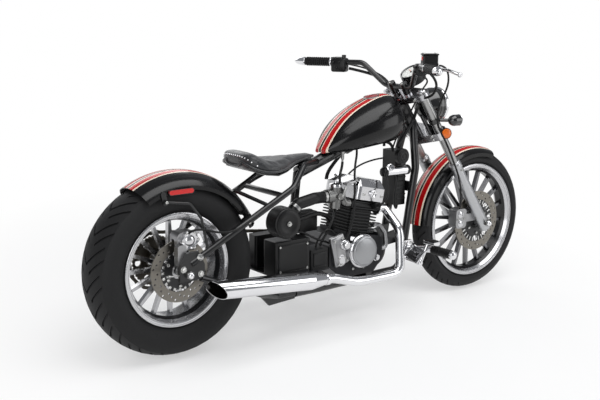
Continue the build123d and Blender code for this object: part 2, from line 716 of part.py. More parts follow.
# Engine: crankcase with its deck, covers, finned barrel and head, rocker cover
with BuildPart() as crankcase:
    with BuildSketch(Plane.XZ.offset(-CASE_HALF)) as case_sketch:
        with BuildLine():
            Polyline(
                (CASE_REAR, 235),
                (CASE_REAR, CASE_TOP - 30),
                (CASE_REAR + 50, CASE_TOP),
                (CASE_FRONT - 25, CASE_TOP),
                (CASE_FRONT, CASE_TOP - 35),
                (CASE_FRONT, 235),
                (CASE_FRONT - 45, CASE_BOTTOM),
                (CASE_REAR + 60, CASE_BOTTOM),
                close=True,
            )
        make_face()
        fillet(case_sketch.vertices(), 12)
    extrude(amount=2 * CASE_HALF)
    with BuildSketch(ENGINE):
        RectangleRounded(BARREL_LENGTH, 2 * BARREL_HALF, 14)
    extrude(amount=-40)
    with BuildSketch(ENGINE):
        Rectangle(BARREL_LENGTH + 8, 2 * CASE_HALF + 2)
    extrude(amount=60, mode=Mode.SUBTRACT)
    # Room for the chain, with the output shaft and its sprocket
    with BuildSketch(Plane.XZ.offset(-CASE_HALF)):
        with Locations((CHAIN_POCKET_FRONT, (CASE_BOTTOM + CASE_TOP) / 2)):
            Rectangle(CHAIN_POCKET_FRONT - CASE_REAR + 10, 200, align=(Align.MAX, Align.CENTER))
    extrude(amount=CASE_HALF - CHAIN_POCKET_Y, mode=Mode.SUBTRACT)
    drive_at = Vector(DRIVE_X, 0, DRIVE_Z)
    with BuildSketch(side_plane(drive_at, sprocket_outer)):
        Circle(12)
    extrude(amount=sprocket_outer - CHAIN_POCKET_Y)
    with BuildSketch(side_plane(drive_at, sprocket_outer)):
        Circle(DRIVE_RADIUS)
    extrude(amount=SPROCKET_THICK)
keep(crankcase, "crankcase")

# Round covers: x, z, radius, depth and side, right being -1
COVERS = (
    (COVER_X, COVER_Z, COVER_RADIUS, COVER_DEPTH, -1),
    (COVER_X + 34, COVER_Z, COVER_RADIUS - 4, 30.0, 1),
    (684.0, 262.0, 26.0, 20.0, -1),
)
with BuildPart() as engine_covers:
    for x, z, radius, depth, side in COVERS:
        seat_at = Vector(x, side * CASE_HALF, z)
        with BuildSketch(Plane(origin=seat_at, x_dir=(1, 0, 0), z_dir=(0, 0, side))):
            with BuildLine():
                face = Line((0, 0), (radius, 0))
                rise = Line(face @ 1, (radius, depth * 0.5))
                dome = ThreePointArc(
                    rise @ 1, (radius - depth * 0.09, depth * 0.75), (radius - depth * 0.3, depth * 0.86)
                )
                step = Line(dome @ 1, (radius * 0.6, depth * 0.86))
                boss = Line(step @ 1, (radius * 0.56, depth))
                Line(boss @ 1, (0, depth))
                Line((0, depth), (0, 0))
            make_face()
        revolve(axis=Axis(seat_at, (0, side, 0)))
keep(engine_covers, "engine_covers")


def fin_planes(base, height):
    """Sketch planes for cooling fins from base up through height."""
    count = int(height / FIN_PITCH)
    spare = (height - count * FIN_PITCH) / 2
    for index in range(count):
        low = base + spare + index * FIN_PITCH + (FIN_PITCH - FIN_THICK) / 2
        yield ENGINE.offset(low)


with BuildPart() as barrel:
    with BuildSketch(ENGINE):
        RectangleRounded(BARREL_LENGTH - 2 * FIN_REACH, 2 * (BARREL_HALF - FIN_REACH), 20)
    extrude(amount=BARREL_HEIGHT)
    for fin_plane in fin_planes(0, BARREL_HEIGHT):
        with BuildSketch(fin_plane):
            RectangleRounded(BARREL_LENGTH, 2 * BARREL_HALF, 14)
        extrude(amount=FIN_THICK)
keep(barrel, "barrel")

with BuildPart() as cylinder_head:
    with BuildSketch(ENGINE.offset(BARREL_HEIGHT)):
        RectangleRounded(BARREL_LENGTH - 2 * FIN_REACH, 2 * (BARREL_HALF - FIN_REACH), 20)
    extrude(amount=HEAD_HEIGHT)
    for fin_plane in fin_planes(BARREL_HEIGHT, HEAD_HEIGHT):
        with BuildSketch(fin_plane):
            RectangleRounded(BARREL_LENGTH, 2 * BARREL_HALF, 14)
        extrude(amount=FIN_THICK)
    port_z = BARREL_HEIGHT + HEAD_HEIGHT / 2
    port_x = BARREL_LENGTH / 2 + PORT_REACH
    for port_y in (-PORT_Y, PORT_Y):
        add(rod(in_engine(-port_x, port_y, port_z), in_engine(port_x, port_y, port_z), PORT_RADIUS))
keep(cylinder_head, "cylinder_head")

with BuildPart() as rocker_cover:
    with BuildSketch(ENGINE.offset(BARREL_HEIGHT + HEAD_HEIGHT)):
        with Locations((8, 0)):
            RectangleRounded(BARREL_LENGTH + 14, 2 * ROCKER_HALF, 22)
    extrude(amount=ROCKER_HEIGHT * 0.62)
    with BuildSketch(ENGINE.offset(BARREL_HEIGHT + HEAD_HEIGHT + ROCKER_HEIGHT * 0.62)):
        with Locations((8, 0)):
            RectangleRounded(BARREL_LENGTH + 14, 2 * ROCKER_HALF, 22)
    extrude(amount=ROCKER_HEIGHT * 0.38, taper=38)
    plug_z = BARREL_HEIGHT + HEAD_HEIGHT + ROCKER_HEIGHT * 0.34
    for side in (-1, 1):
        plug_in = in_engine(10, side * (ROCKER_HALF - 4), plug_z)
        add(rod(plug_in, in_engine(10, side * (ROCKER_HALF + 6), plug_z), 15))
keep(rocker_cover, "rocker_cover")

OIL_PIPE_RADIUS = 9.0
with BuildPart() as oil_pipe:
    pipe_top = in_engine(BARREL_LENGTH / 2, -72, 40)
    add(
        tube(
            [(CASE_FRONT, -86, 270), (946, -86, 270), (938, -84, 330), pipe_top + ENGINE.x_dir * 36, pipe_top],
            OIL_PIPE_RADIUS,
            bend=14,
        )
    )
keep(oil_pipe, "oil_pipe")

# Fuel and air: carburettor behind the head, hose and round filter on the right
CARB_AT = (694.0, -66.0, 505.0)
FILTER_AT = (414.0, -112.0, 443.0)
FILTER_RADIUS = 58.0
FILTER_HALF = 34.0
HOSE_RADIUS = 22.0
SPIGOT_REACH = 66.0
intake_start = in_engine(-port_x, -PORT_Y, port_z)
carb_rear = Vector(CARB_AT[0] - 46, CARB_AT[1], CARB_AT[2])
spigot_way = Vector(cos(radians(42)), 0, sin(radians(42)))
spigot_end = Vector(FILTER_AT) + spigot_way * SPIGOT_REACH
with BuildPart() as carburettor:
    intake_turn = in_engine(-port_x - 24, -PORT_Y, port_z)
    add(tube([intake_start, intake_turn, Vector(CARB_AT) + Vector(22, 0, 0), carb_rear], 17, bend=10))
    add(rod(carb_rear, Vector(CARB_AT) + Vector(30, 0, 0), 27))
    add(rod(Vector(CARB_AT) - Vector(4, 0, 48), Vector(CARB_AT), 24))
    add(rod(Vector(CARB_AT), Vector(CARB_AT) + Vector(0, 0, 40), 23))
    add(rod(Vector(CARB_AT) - Vector(0, 34, 0), Vector(CARB_AT), 13))
keep(carburettor, "carburettor")

with BuildPart() as intake_hose:
    add(
        tube(
            [
                carb_rear,
                carb_rear - Vector(1.4 * HOSE_RADIUS, 0, 0),
                ((carb_rear.X + spigot_end.X) / 2, FILTER_AT[1], CARB_AT[2] + HOSE_RADIUS / 2),
                spigot_end + spigot_way * 1.1 * HOSE_RADIUS,
                spigot_end,
            ],
            HOSE_RADIUS,
            bend=HOSE_RADIUS,
        )
    )
keep(intake_hose, "intake_hose")

with BuildPart() as air_filter:
    with BuildSketch(side_plane(Vector(FILTER_AT), FILTER_AT[1] + FILTER_HALF)):
        Circle(FILTER_RADIUS)
    extrude(amount=2 * FILTER_HALF)
    fillet(air_filter.edges(), 8)
    add(rod(Vector(FILTER_AT) + spigot_way * 40, spigot_end, HOSE_RADIUS))
keep(air_filter, "air_filter")

# Boxes on the tray: x from, x to, y from, y to and height
BOXES = (
    (374.0, 534.0, -122.0, -40.0, 132.0),
    (540.0, 626.0, -118.0, -40.0, 78.0),
    (392.0, 534.0, 34.0, 86.0, 126.0),
)
with BuildPart() as side_boxes:
    for x_from, x_to, y_from, y_to, height in BOXES:
        with BuildSketch(Plane.XY.offset(TRAY_Z)):
            with Locations(((x_from + x_to) / 2, (y_from + y_to) / 2)):
                RectangleRounded(x_to - x_from, y_to - y_from, 10)
        extrude(amount=height)
    fillet(side_boxes.edges().filter_by(GeomType.LINE).group_by(Axis.Z)[-1], 6)
keep(side_boxes, "side_boxes")

# Exhausts, one each side: header from the port, slash-cut muffler
header_start = in_engine(port_x, -PORT_Y, port_z)
muffler_way = Vector(-cos(radians(MUFFLER_RISE)), 0, sin(radians(MUFFLER_RISE)))
muffler_start = Vector(556, -EXHAUST_Y, 222)
muffler_end = muffler_start + muffler_way * MUFFLER_LENGTH
MUFFLER = Plane(origin=muffler_start, x_dir=(0, 1, 0), z_dir=muffler_way)
with BuildPart() as exhaust_headers:
    add(
        tube(
            [
                header_start,
                header_start + ENGINE.x_dir * 44,
                (946, -164, 356),
                (930, -EXHAUST_Y, 186),
                (712, -EXHAUST_Y, 186),
                muffler_start - muffler_way * 36,
                muffler_start,
            ],
            HEADER_RADIUS,
            bend=22,
        )
    )
    mirror(about=Plane.XZ)
keep(exhaust_headers, "exhaust_headers")

with BuildPart() as mufflers:
    with BuildSketch(MUFFLER):
        Circle(HEADER_RADIUS + 2)
    with BuildSketch(MUFFLER.offset(MUFFLER_CONE)):
        Circle(MUFFLER_RADIUS)
    loft()
    with BuildSketch(MUFFLER.offset(MUFFLER_CONE)):
        Circle(MUFFLER_RADIUS)
    extrude(amount=MUFFLER_LENGTH - MUFFLER_CONE)
    with BuildSketch(MUFFLER.offset(MUFFLER_LENGTH - 160)):
        Circle(MUFFLER_RADIUS - MUFFLER_WALL)
    extrude(amount=160, mode=Mode.SUBTRACT)
    slash_side = Vector(0, sin(radians(SLASH_TURN)), cos(radians(SLASH_TURN)))
    slash = slash_side * sin(radians(SLASH_ANGLE)) - muffler_way * cos(radians(SLASH_ANGLE))
    split(bisect_by=Plane(origin=muffler_end - muffler_way * SLASH_BACK, z_dir=slash), keep=Keep.TOP)
    mirror(about=Plane.XZ)
keep(mufflers, "mufflers")

# Chain: a loop seated on the engine's sprocket and clear of the turning one
with BuildPart() as drive_chain:
    with BuildSketch(Plane.XZ.offset(-CHAIN_Y - CHAIN_WIDTH / 2)):
        for grow, mode in ((CHAIN_HEIGHT, Mode.ADD), (0, Mode.SUBTRACT)):
            with BuildSketch(mode=Mode.PRIVATE) as loop:
                with Locations((rear_axle_at.X, rear_axle_at.Z)):
                    Circle(SPROCKET_RADIUS + CHAIN_CLEARANCE + grow)
                with Locations((DRIVE_X, DRIVE_Z)):
                    Circle(DRIVE_RADIUS + FIT + grow)
                make_hull()
            add(loop.sketch, mode=mode)
    extrude(amount=CHAIN_WIDTH)
keep(drive_chain, "drive_chain")

# Between the downtubes: electrics box, horn and ignition coil
ELECTRICS = (1028.0, 1085.0, 44.0, 424.0, 648.0)
HORN_AT = (1026.0, 632.0)
HORN_RADIUS = 32.0
COIL_AT = (1000.0, -71.0, 574.0)
COIL_RADIUS = 19.0
COIL_LENGTH = 130.0
with BuildPart() as electrics_box:
    x_from, x_to, half, low, high = ELECTRICS
    with BuildSketch(Plane.XY.offset(low)):
        with Locations(((x_from + x_to) / 2, 0)):
            RectangleRounded(x_to - x_from, 2 * half, 8)
    extrude(amount=high - low)
keep(electrics_box, "electrics_box")

with BuildPart() as horn:
    with BuildSketch(Plane.XZ.offset(half)):
        with Locations((HORN_AT[0] + 16, HORN_AT[1] - 4)):
            Circle(10)
    extrude(amount=24)
    with BuildSketch(Plane.XZ.offset(half + 24)):
        with Locations(HORN_AT):
            Circle(HORN_RADIUS)
    extrude(amount=22)
    fillet(horn.edges().group_by(Axis.Y)[0], 6)
keep(horn, "horn")

with BuildPart() as ignition_coil:
    coil_mid = Vector(COIL_AT)
    coil_half = Vector(COIL_LENGTH / 2, 0, 0)
    add(rod(coil_mid - coil_half, coil_mid + coil_half, COIL_RADIUS))
    for band in (1038.0, 1062.0):
        with BuildSketch(Plane.XZ.offset(half)):
            with Locations((band, COIL_AT[2])):
                Rectangle(14, 24)
        extrude(amount=14)
keep(ignition_coil, "ignition_coil")

# Forward foot controls and rubber pegs
PEG_AT = (1102.0, 258.0)
PEG_INNER = 196.0
PEG_LENGTH = 104.0
PEG_RADIUS = 17.0
PEG_CORE = 9.0
with BuildPart() as foot_controls:
    # Mounting plate on the outside of the downtube, arm, peg core, pedal arm and toe pad
    plate_y = DOWNTUBE_Y + RAIL_RADIUS
    with BuildSketch(Plane.XZ.offset(plate_y)):
        with Locations((1066, 240)):
            RectangleRounded(54, 84, 8)
    extrude(amount=10)
    add(rod((1070, -plate_y - 4, 246), (PEG_AT[0], -PEG_INNER + 6, PEG_AT[1]), 13))
    peg_inner = Vector(PEG_AT[0], -PEG_INNER, PEG_AT[1])
    peg_outer = peg_inner - Vector(0, PEG_LENGTH, 0)
    add(rod(peg_inner + Vector(0, 22, 0), peg_outer, PEG_CORE))
    add(rod(peg_outer, peg_outer - Vector(0, 12, 0), PEG_RADIUS))
    add(rod((1056, -plate_y - 4, 212), (1050, -182, 206), 10))
    add(rod((1050, -176, 206), (1084, -184, 286), 8))
    with BuildSketch(Plane.XZ.offset(172)):
        with Locations((1086, 290)):
            RectangleRounded(34, 14, 5)
    extrude(amount=60)
    mirror(about=Plane.XZ)
keep(foot_controls, "foot_controls")

with BuildPart() as foot_pegs:
    with BuildSketch(Plane.XZ.offset(PEG_INNER)):
        with Locations(PEG_AT):
            Circle(PEG_RADIUS)
            Circle(PEG_CORE + FIT, mode=Mode.SUBTRACT)
    extrude(amount=PEG_LENGTH)
    mirror(about=Plane.XZ)
keep(foot_pegs, "foot_pegs")

# Rear caliper over the disc, its bracket on the right axle plate
REAR_CALIPER = (16.0, 112.0)  # from the rear axle
with BuildPart() as rear_caliper:
    disc_mid = REAR_HUB_HALF + DISC_THICK / 2
    with BuildSketch(Plane.XZ.offset(disc_mid - 21)):
        with Locations((REAR_CALIPER[0], REAR_TYRE_RADIUS + REAR_CALIPER[1])):
            RectangleRounded(80, 58, 18)
    extrude(amount=52)
    with BuildSketch(Plane.XZ.offset(disc_mid + 26)):
        with Locations((REAR_CALIPER[0] - 33, REAR_TYRE_RADIUS + REAR_CALIPER[1] - 50)):
            RectangleRounded(34, 80, 10)
    extrude(amount=plate_inner - disc_mid - 26)
    with BuildSketch(side_plane(rear_axle_at, DISC_THICK / 2 + DISC_CLEARANCE - disc_mid)):
        Circle(REAR_DISC_RADIUS + DISC_CLEARANCE)
    extrude(amount=DISC_THICK + 2 * DISC_CLEARANCE, mode=Mode.SUBTRACT)
keep(rear_caliper, "rear_caliper")

# Steering: lower clamp with stem, upper clamp with risers, fork legs
with BuildPart() as steering_stem:
    with BuildSketch(FORK.offset(LOWER_CLAMP)):
        with BuildSketch(mode=Mode.PRIVATE) as lower_outline:
            with Locations((0, -LEG_Y), (0, LEG_Y)):
                Circle(TUBE_RADIUS + 10)
            with Locations((-FORK_OFFSET + 4, 0)):
                Circle(HEAD_TUBE_RADIUS + 3)
            make_hull()
        add(lower_outline.sketch)
        with Locations((0, -LEG_Y), (0, LEG_Y)):
            Circle(TUBE_RADIUS + FIT, mode=Mode.SUBTRACT)
    extrude(amount=LOWER_CLAMP_THICK)
    stem_top = UPPER_CLAMP + UPPER_CLAMP_THICK
    add(rod(in_fork(-FORK_OFFSET, 0, LOWER_CLAMP), in_fork(-FORK_OFFSET, 0, stem_top + 10), STEM_RADIUS))
    with BuildSketch(FORK.offset(stem_top)):
        with Locations((-FORK_OFFSET, 0)):
            RegularPolygon(STEM_RADIUS + 7, 6)
    extrude(amount=10)
keep(steering_stem, "steering_stem")

bar_clamp = in_fork(BAR_CLAMP[0], 0, BAR_CLAMP[1])
with BuildPart() as upper_clamp:
    with BuildSketch(FORK.offset(UPPER_CLAMP)):
        with BuildSketch(mode=Mode.PRIVATE) as upper_outline:
            with Locations((0, -LEG_Y), (0, LEG_Y)):
                Circle(TUBE_RADIUS + 9)
            with Locations((-FORK_OFFSET + 4, 0)):
                Circle(HEAD_TUBE_RADIUS)
            make_hull()
        add(upper_outline.sketch)
    extrude(amount=UPPER_CLAMP_THICK)
    for riser_y in (-RISER_Y, RISER_Y):
        riser_foot = in_fork(BAR_CLAMP[0], riser_y, stem_top - 4)
        add(rod(riser_foot, in_fork(BAR_CLAMP[0], riser_y, BAR_CLAMP[1] + BAR_RADIUS + 7), RISER_RADIUS))
    with BuildSketch(FORK.offset(UPPER_CLAMP)):
        with Locations((0, -LEG_Y), (0, LEG_Y)):
            Circle(TUBE_RADIUS + FIT)
        with Locations((-FORK_OFFSET, 0)):
            Circle(STEM_RADIUS + FIT)
    extrude(amount=UPPER_CLAMP_THICK, mode=Mode.SUBTRACT)
    bar_side = Vector(0, BAR_CLAMP_HALF, 0)
    bar_bore = rod(bar_clamp - bar_side, bar_clamp + bar_side, BAR_RADIUS + FIT)
    add(bar_bore, mode=Mode.SUBTRACT)
keep(upper_clamp, "upper_clamp")

with BuildPart() as fork_tubes:
    for leg_y in (-LEG_Y, LEG_Y):
        add(rod(in_fork(0, leg_y, SLIDER_TOP), in_fork(0, leg_y, TUBE_TOP), TUBE_RADIUS))
keep(fork_tubes, "fork_tubes")

with BuildPart() as fork_sliders:
    for leg_y in (-LEG_Y, LEG_Y):
        add(rod(in_fork(0, leg_y, SLIDER_BOTTOM), in_fork(0, leg_y, SLIDER_TOP), SLIDER_RADIUS))
    axle_reach = LEG_Y + SLIDER_RADIUS + 1
    with BuildSketch(side_plane(front_axle_at, axle_reach)):
        Circle(AXLE_RADIUS + FIT)
    extrude(amount=2 * axle_reach, mode=Mode.SUBTRACT)
keep(fork_sliders, "fork_sliders")

with BuildPart() as front_axle:
    add(rod(in_fork(0, -axle_reach, 0), in_fork(0, axle_reach, 0), AXLE_RADIUS))
    spacer_end = LEG_Y - SLIDER_RADIUS - FIT
    for spacer_from, side in ((FRONT_HUB_HALF + DISC_THICK, -1), (FRONT_HUB_HALF, 1)):
        spacer_start = in_fork(0, side * (spacer_from + RUNNING), 0)
        add(rod(spacer_start, in_fork(0, side * spacer_end, 0), SPACER_RADIUS))
        with BuildSketch(Plane(origin=in_fork(0, side * axle_reach, 0), z_dir=(0, side, 0))):
            RegularPolygon(AXLE_NUT_RADIUS, 6)
        extrude(amount=AXLE_NUT_LENGTH)
keep(front_axle, "front_axle")

# Front fender with bosses that reach the sliders
FENDER_BOSS_DROP = 26.0  # below the crown
front_fender = build_fender(
    front_axle_at,
    front_fender_radius,
    FRONT_FENDER_HALF,
    front_fender_radius - FRONT_FENDER_DEPTH,
    FRONT_FENDER_FRONT,
    FRONT_FENDER_REAR,
)
with front_fender:
    for side in (-1, 1):
        boss_up = front_fender_radius - FENDER_BOSS_DROP
        boss_start = in_fork(0, side * (FRONT_FENDER_HALF - FENDER_WALL / 2), boss_up)
        boss_end = in_fork(0, side * (LEG_Y - SLIDER_RADIUS - SEAT_GAP), boss_up)
        add(rod(boss_start, boss_end, 6))
keep(front_fender, "front_fender")

FRONT_CALIPER = (-119.0, 26.0)  # from the front axle
caliper_at = front_axle_at + Vector(FRONT_CALIPER[0], 0, FRONT_CALIPER[1])
with BuildPart() as front_caliper:
    disc_mid = FRONT_HUB_HALF + DISC_THICK / 2
    with BuildSketch(Plane.XZ.offset(disc_mid - 20)):
        with Locations((caliper_at.X, caliper_at.Z)):
            RectangleRounded(62, 84, 16)
    extrude(amount=46)
    with BuildSketch(Plane.XZ.offset(disc_mid + 10)):
        with Locations((caliper_at.X + 54, caliper_at.Z)):
            Rectangle(64, 34)
    extrude(amount=16)
    slider_room = rod(in_fork(0, -LEG_Y, SLIDER_BOTTOM), in_fork(0, -LEG_Y, SLIDER_TOP), SLIDER_RADIUS + FIT)
    add(slider_room, mode=Mode.SUBTRACT)
    with BuildSketch(side_plane(front_axle_at, DISC_THICK / 2 + DISC_CLEARANCE - disc_mid)):
        Circle(FRONT_DISC_RADIUS + DISC_CLEARANCE)
    extrude(amount=DISC_THICK + 2 * DISC_CLEARANCE, mode=Mode.SUBTRACT)
keep(front_caliper, "front_caliper")

# Handlebar, grips, bar ends, lever perches with mirror bosses, levers
bar_tip = bar_clamp + Vector(BAR_TIP[0], -BAR_TIP[1], BAR_TIP[2])
bar_shoulder = bar_clamp + Vector(BAR_SHOULDER[0], -BAR_SHOULDER[1], BAR_SHOULDER[2])
bar_in = (bar_shoulder - bar_tip).normalized()
bar_front = bar_in.cross(Vector(0, 0, 1)).normalized()
with BuildPart() as handlebar:
    add(
        tube(
            [
                bar_tip,
                bar_shoulder,
                bar_clamp - bar_side,
                bar_clamp + bar_side,
                bar_clamp + Vector(BAR_SHOULDER),
                bar_clamp + Vector(BAR_TIP),
            ],
            BAR_RADIUS,
            bend=BAR_BEND,
        )
    )
keep(handlebar, "handlebar")

with BuildPart() as grips:
    with BuildSketch(Plane(origin=bar_tip, z_dir=bar_in)):
        Circle(GRIP_RADIUS)
        Circle(BAR_RADIUS + FIT, mode=Mode.SUBTRACT)
    extrude(amount=GRIP_LENGTH)
    mirror(about=Plane.XZ)
keep(grips, "grips")

with BuildPart() as bar_ends:
    with BuildSketch(Plane(origin=bar_tip, z_dir=-bar_in)):
        Circle(GRIP_RADIUS)
    extrude(amount=BAR_END_LENGTH, taper=20)
    mirror(about=Plane.XZ)
keep(bar_ends, "bar_ends")

perch_start = bar_tip + bar_in * (GRIP_LENGTH + PERCH_GAP)
perch_end = perch_start + bar_in * PERCH_LENGTH
pad_top = perch_start.Z + PERCH_RADIUS + 2
mirror_at = perch_end - bar_in * 9
with BuildPart() as lever_perches:
    add(rod(perch_start, perch_end, PERCH_RADIUS))
    PAD = Plane(origin=(0, 0, pad_top), x_dir=bar_front, z_dir=(0, 0, -1))
    pad_at = PAD.to_local_coords(perch_start + bar_in * 20 + bar_front * 16)
    with BuildSketch(PAD):
        with Locations((pad_at.X, pad_at.Y)):
            Rectangle(58, 36)
    extrude(amount=30)
    mirror_top = Vector(mirror_at.X, mirror_at.Y, pad_top + MIRROR_BOSS_RISE)
    add(rod(mirror_at, mirror_top, MIRROR_HOLE_RADIUS + 4))
    add(rod(perch_start - bar_in * 1, perch_end + bar_in * 1, BAR_RADIUS + FIT), mode=Mode.SUBTRACT)
    mirror_hole = rod(mirror_top - Vector(0, 0, MIRROR_HOLE_DEPTH), mirror_top, MIRROR_HOLE_RADIUS)
    add(mirror_hole, mode=Mode.SUBTRACT)
    mirror(about=Plane.XZ)
keep(lever_perches, "lever_perches")

with BuildPart() as hand_levers:
    lever_start = perch_start + bar_in * 10 + bar_front * (45 + LEVER_RADIUS + SEAT_GAP) - Vector(0, 0, 2)
    lever_turn = lever_start - bar_in * 60 + bar_front * 16
    lever_end = bar_tip - bar_in * 22 + bar_front * 82 - Vector(0, 0, 12)
    add(tube([lever_start, lever_turn, lever_end], LEVER_RADIUS, bend=40))
    with Locations(lever_end):
        Sphere(9)
    mirror(about=Plane.XZ)
keep(hand_levers, "hand_levers")

with BuildPart() as master_cylinder:
    TOP = Plane(origin=(0, 0, pad_top), x_dir=bar_front, z_dir=(0, 0, 1))
    master_at = TOP.to_local_coords(perch_start + bar_in * 20 + bar_front * 16)
    with BuildSketch(TOP):
        with Locations((master_at.X, master_at.Y)):
            RectangleRounded(58, 36, 6)
    extrude(amount=30)
    fillet(master_cylinder.edges().group_by(Axis.Z)[-1], 4)
keep(master_cylinder, "master_cylinder")

# Speedometer on a plate from the upper clamp
SPEEDO_FORWARD = 68.0
SPEEDO_RADIUS = 48.0
SPEEDO_DEPTH = 42.0
with BuildPart() as speedometer:
    with BuildSketch(FORK.offset(stem_top)):
        with Locations((SPEEDO_FORWARD / 2, 0)):
            RectangleRounded(SPEEDO_FORWARD + 6, 34, 6)
    extrude(amount=4)
    with BuildSketch(FORK.offset(stem_top + 4)):
        with Locations((SPEEDO_FORWARD, 0)):
            Circle(SPEEDO_RADIUS)
    extrude(amount=SPEEDO_DEPTH)
    fillet(speedometer.edges().group_by(Axis(front_axle_at, fork_up))[-1], 6)
keep(speedometer, "speedometer")

# Headlamp: bowl on a post from the lower clamp, rim and lens
LAMP_AT = (106.0, 549.0)  # in fork coordinates
LAMP_RADIUS = 69.0
LAMP_DEPTH = 98.0
LAMP_RIM = 73.0
LAMP_GLASS = 60.0
LAMP_RIM_DEPTH = 16.0
lamp_at = in_fork(LAMP_AT[0], 0, LAMP_AT[1])
lamp_axis = Axis(lamp_at, (1, 0, 0))
LAMP = Plane(origin=lamp_at, x_dir=(1, 0, 0), z_dir=(0, -1, 0))
with BuildPart() as headlamp_shell:
    with BuildSketch(LAMP):
        with BuildLine():
            bowl = ThreePointArc(
                (-LAMP_DEPTH, 0), (-0.72 * LAMP_DEPTH, 0.72 * LAMP_RADIUS), (-0.3 * LAMP_DEPTH, LAMP_RADIUS)
            )
            band = Line(bowl @ 1, (0, LAMP_RADIUS))
            back = Line(band @ 1, (0, 0))
            Line(back @ 1, bowl @ 0)
        make_face()
    revolve(axis=lamp_axis)
    clamp_top = LOWER_CLAMP + LOWER_CLAMP_THICK
    add(rod(in_fork(24, 0, clamp_top), in_fork(24, 0, clamp_top + 50), 10))
keep(headlamp_shell, "headlamp_shell")

with BuildPart() as headlamp_rim:
    with BuildSketch(LAMP):
        with Locations((LAMP_RIM_DEPTH / 2, (LAMP_RIM + LAMP_GLASS) / 2)):
            RectangleRounded(LAMP_RIM_DEPTH, LAMP_RIM - LAMP_GLASS, 5)
    revolve(axis=lamp_axis)
keep(headlamp_rim, "headlamp_rim")

lens_rise = LAMP_RIM_DEPTH / 2
with BuildPart() as headlamp_lens:
    with BuildSketch(LAMP):
        with BuildLine():
            glass = Line((0, 0), (0, LAMP_GLASS - FIT))
            lip = Line(glass @ 1, (LAMP_RIM_DEPTH / 2, LAMP_GLASS - FIT))
            dome_radius = ((LAMP_GLASS - FIT) ** 2 + lens_rise**2) / (2 * lens_rise)
            dome_span = degrees(asin((LAMP_GLASS - FIT) / dome_radius))
            dome = CenterArc((LAMP_RIM_DEPTH - dome_radius, 0), dome_radius, 0, dome_span)
            Line(dome @ 0, glass @ 0)
        make_face()
    revolve(axis=lamp_axis)
keep(headlamp_lens, "headlamp_lens")

# Turn signals: bullets on stalks from clamps on the fork tubes
SIGNAL_AT = (47.5, -150.0, 526.5)  # in fork coordinates
SIGNAL_RADIUS = 23.0
SIGNAL_LENGTH = 54.0
SIGNAL_ABOVE = 43.0  # over the lower clamp
signal_at = in_fork(*SIGNAL_AT)
signal_low = LOWER_CLAMP + LOWER_CLAMP_THICK + SIGNAL_ABOVE
with BuildPart() as turn_signals:
    clamp_mid = in_fork(0, -LEG_Y, signal_low + 9)
    add(rod(in_fork(0, -LEG_Y, signal_low), in_fork(0, -LEG_Y, signal_low + 18), TUBE_RADIUS + 6))
    add(rod(clamp_mid, signal_at, 7))
    SIGNAL = Plane(origin=signal_at, x_dir=(1, 0, 0), z_dir=(0, -1, 0))
    with BuildSketch(SIGNAL):
        with BuildLine():
            nose = ThreePointArc(
                (-SIGNAL_LENGTH / 2, 0), (-SIGNAL_LENGTH * 0.3, SIGNAL_RADIUS * 0.75), (0, SIGNAL_RADIUS)
            )
            barrel_run = Line(nose @ 1, (SIGNAL_LENGTH / 2, SIGNAL_RADIUS))
            face = Line(barrel_run @ 1, (SIGNAL_LENGTH / 2, 0))
            Line(face @ 1, nose @ 0)
        make_face()
    revolve(axis=Axis(signal_at, (1, 0, 0)))
    add(
        rod(in_fork(0, -LEG_Y, signal_low - 30), in_fork(0, -LEG_Y, signal_low + 48), TUBE_RADIUS + FIT),
        mode=Mode.SUBTRACT,
    )
    mirror(about=Plane.XZ)
keep(turn_signals, "turn_signals")

# Lean the machine onto its stand, put the origin under the middle of its box and write every piece
lean = Location((0, 0, 0), (-LEAN, 0, 0))
leaned_box = Compound([piece.moved(lean) for piece in pieces.values()]).bounding_box()
floor_point = (-leaned_box.center().X, -leaned_box.center().Y, -leaned_box.min.Z)
PARKED = Location(floor_point) * lean

os.makedirs("parts", exist_ok=True)
for label, piece in pieces.items():
    parked = piece.moved(PARKED)
    parked.label = label
    export_step(parked, f"parts/{label}.step")
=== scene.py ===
import json
from math import atan2, cos, hypot, pi, radians, sin

import bpy
from mathutils import Matrix, Vector


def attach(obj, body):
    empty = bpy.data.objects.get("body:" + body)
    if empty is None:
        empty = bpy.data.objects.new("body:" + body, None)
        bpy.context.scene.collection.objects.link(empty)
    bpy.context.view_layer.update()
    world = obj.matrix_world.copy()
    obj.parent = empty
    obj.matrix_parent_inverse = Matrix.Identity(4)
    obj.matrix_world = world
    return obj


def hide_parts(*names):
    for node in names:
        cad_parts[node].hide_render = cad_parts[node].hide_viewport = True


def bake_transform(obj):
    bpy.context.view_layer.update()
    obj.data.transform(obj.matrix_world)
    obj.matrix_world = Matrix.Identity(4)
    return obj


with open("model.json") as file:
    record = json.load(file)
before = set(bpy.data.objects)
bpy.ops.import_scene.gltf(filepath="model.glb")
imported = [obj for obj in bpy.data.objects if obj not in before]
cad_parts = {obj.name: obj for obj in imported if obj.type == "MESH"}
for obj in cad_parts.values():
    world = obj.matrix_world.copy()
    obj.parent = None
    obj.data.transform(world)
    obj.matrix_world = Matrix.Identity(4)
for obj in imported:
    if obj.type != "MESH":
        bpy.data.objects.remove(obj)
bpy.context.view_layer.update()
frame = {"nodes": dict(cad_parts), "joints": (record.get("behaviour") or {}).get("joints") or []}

# Parked stance. The bike leans to the left on its stand. Every piece below is drawn upright, in
# metres: x forward from the rear axle, y to the rider's left, z up from the floor. It is then
# leaned over with the frame.
LEAN = radians(8)
REAR_AXLE = Vector((0, 0, 0.316))
FRONT_AXLE = Vector((1.495, 0, 0.30701))
RAKE = radians(34)
rear_hub = next(j for j in frame["joints"] if j["name"] == "rear_wheel_spin")
lean_over = Matrix.Rotation(-LEAN, 4, "X")
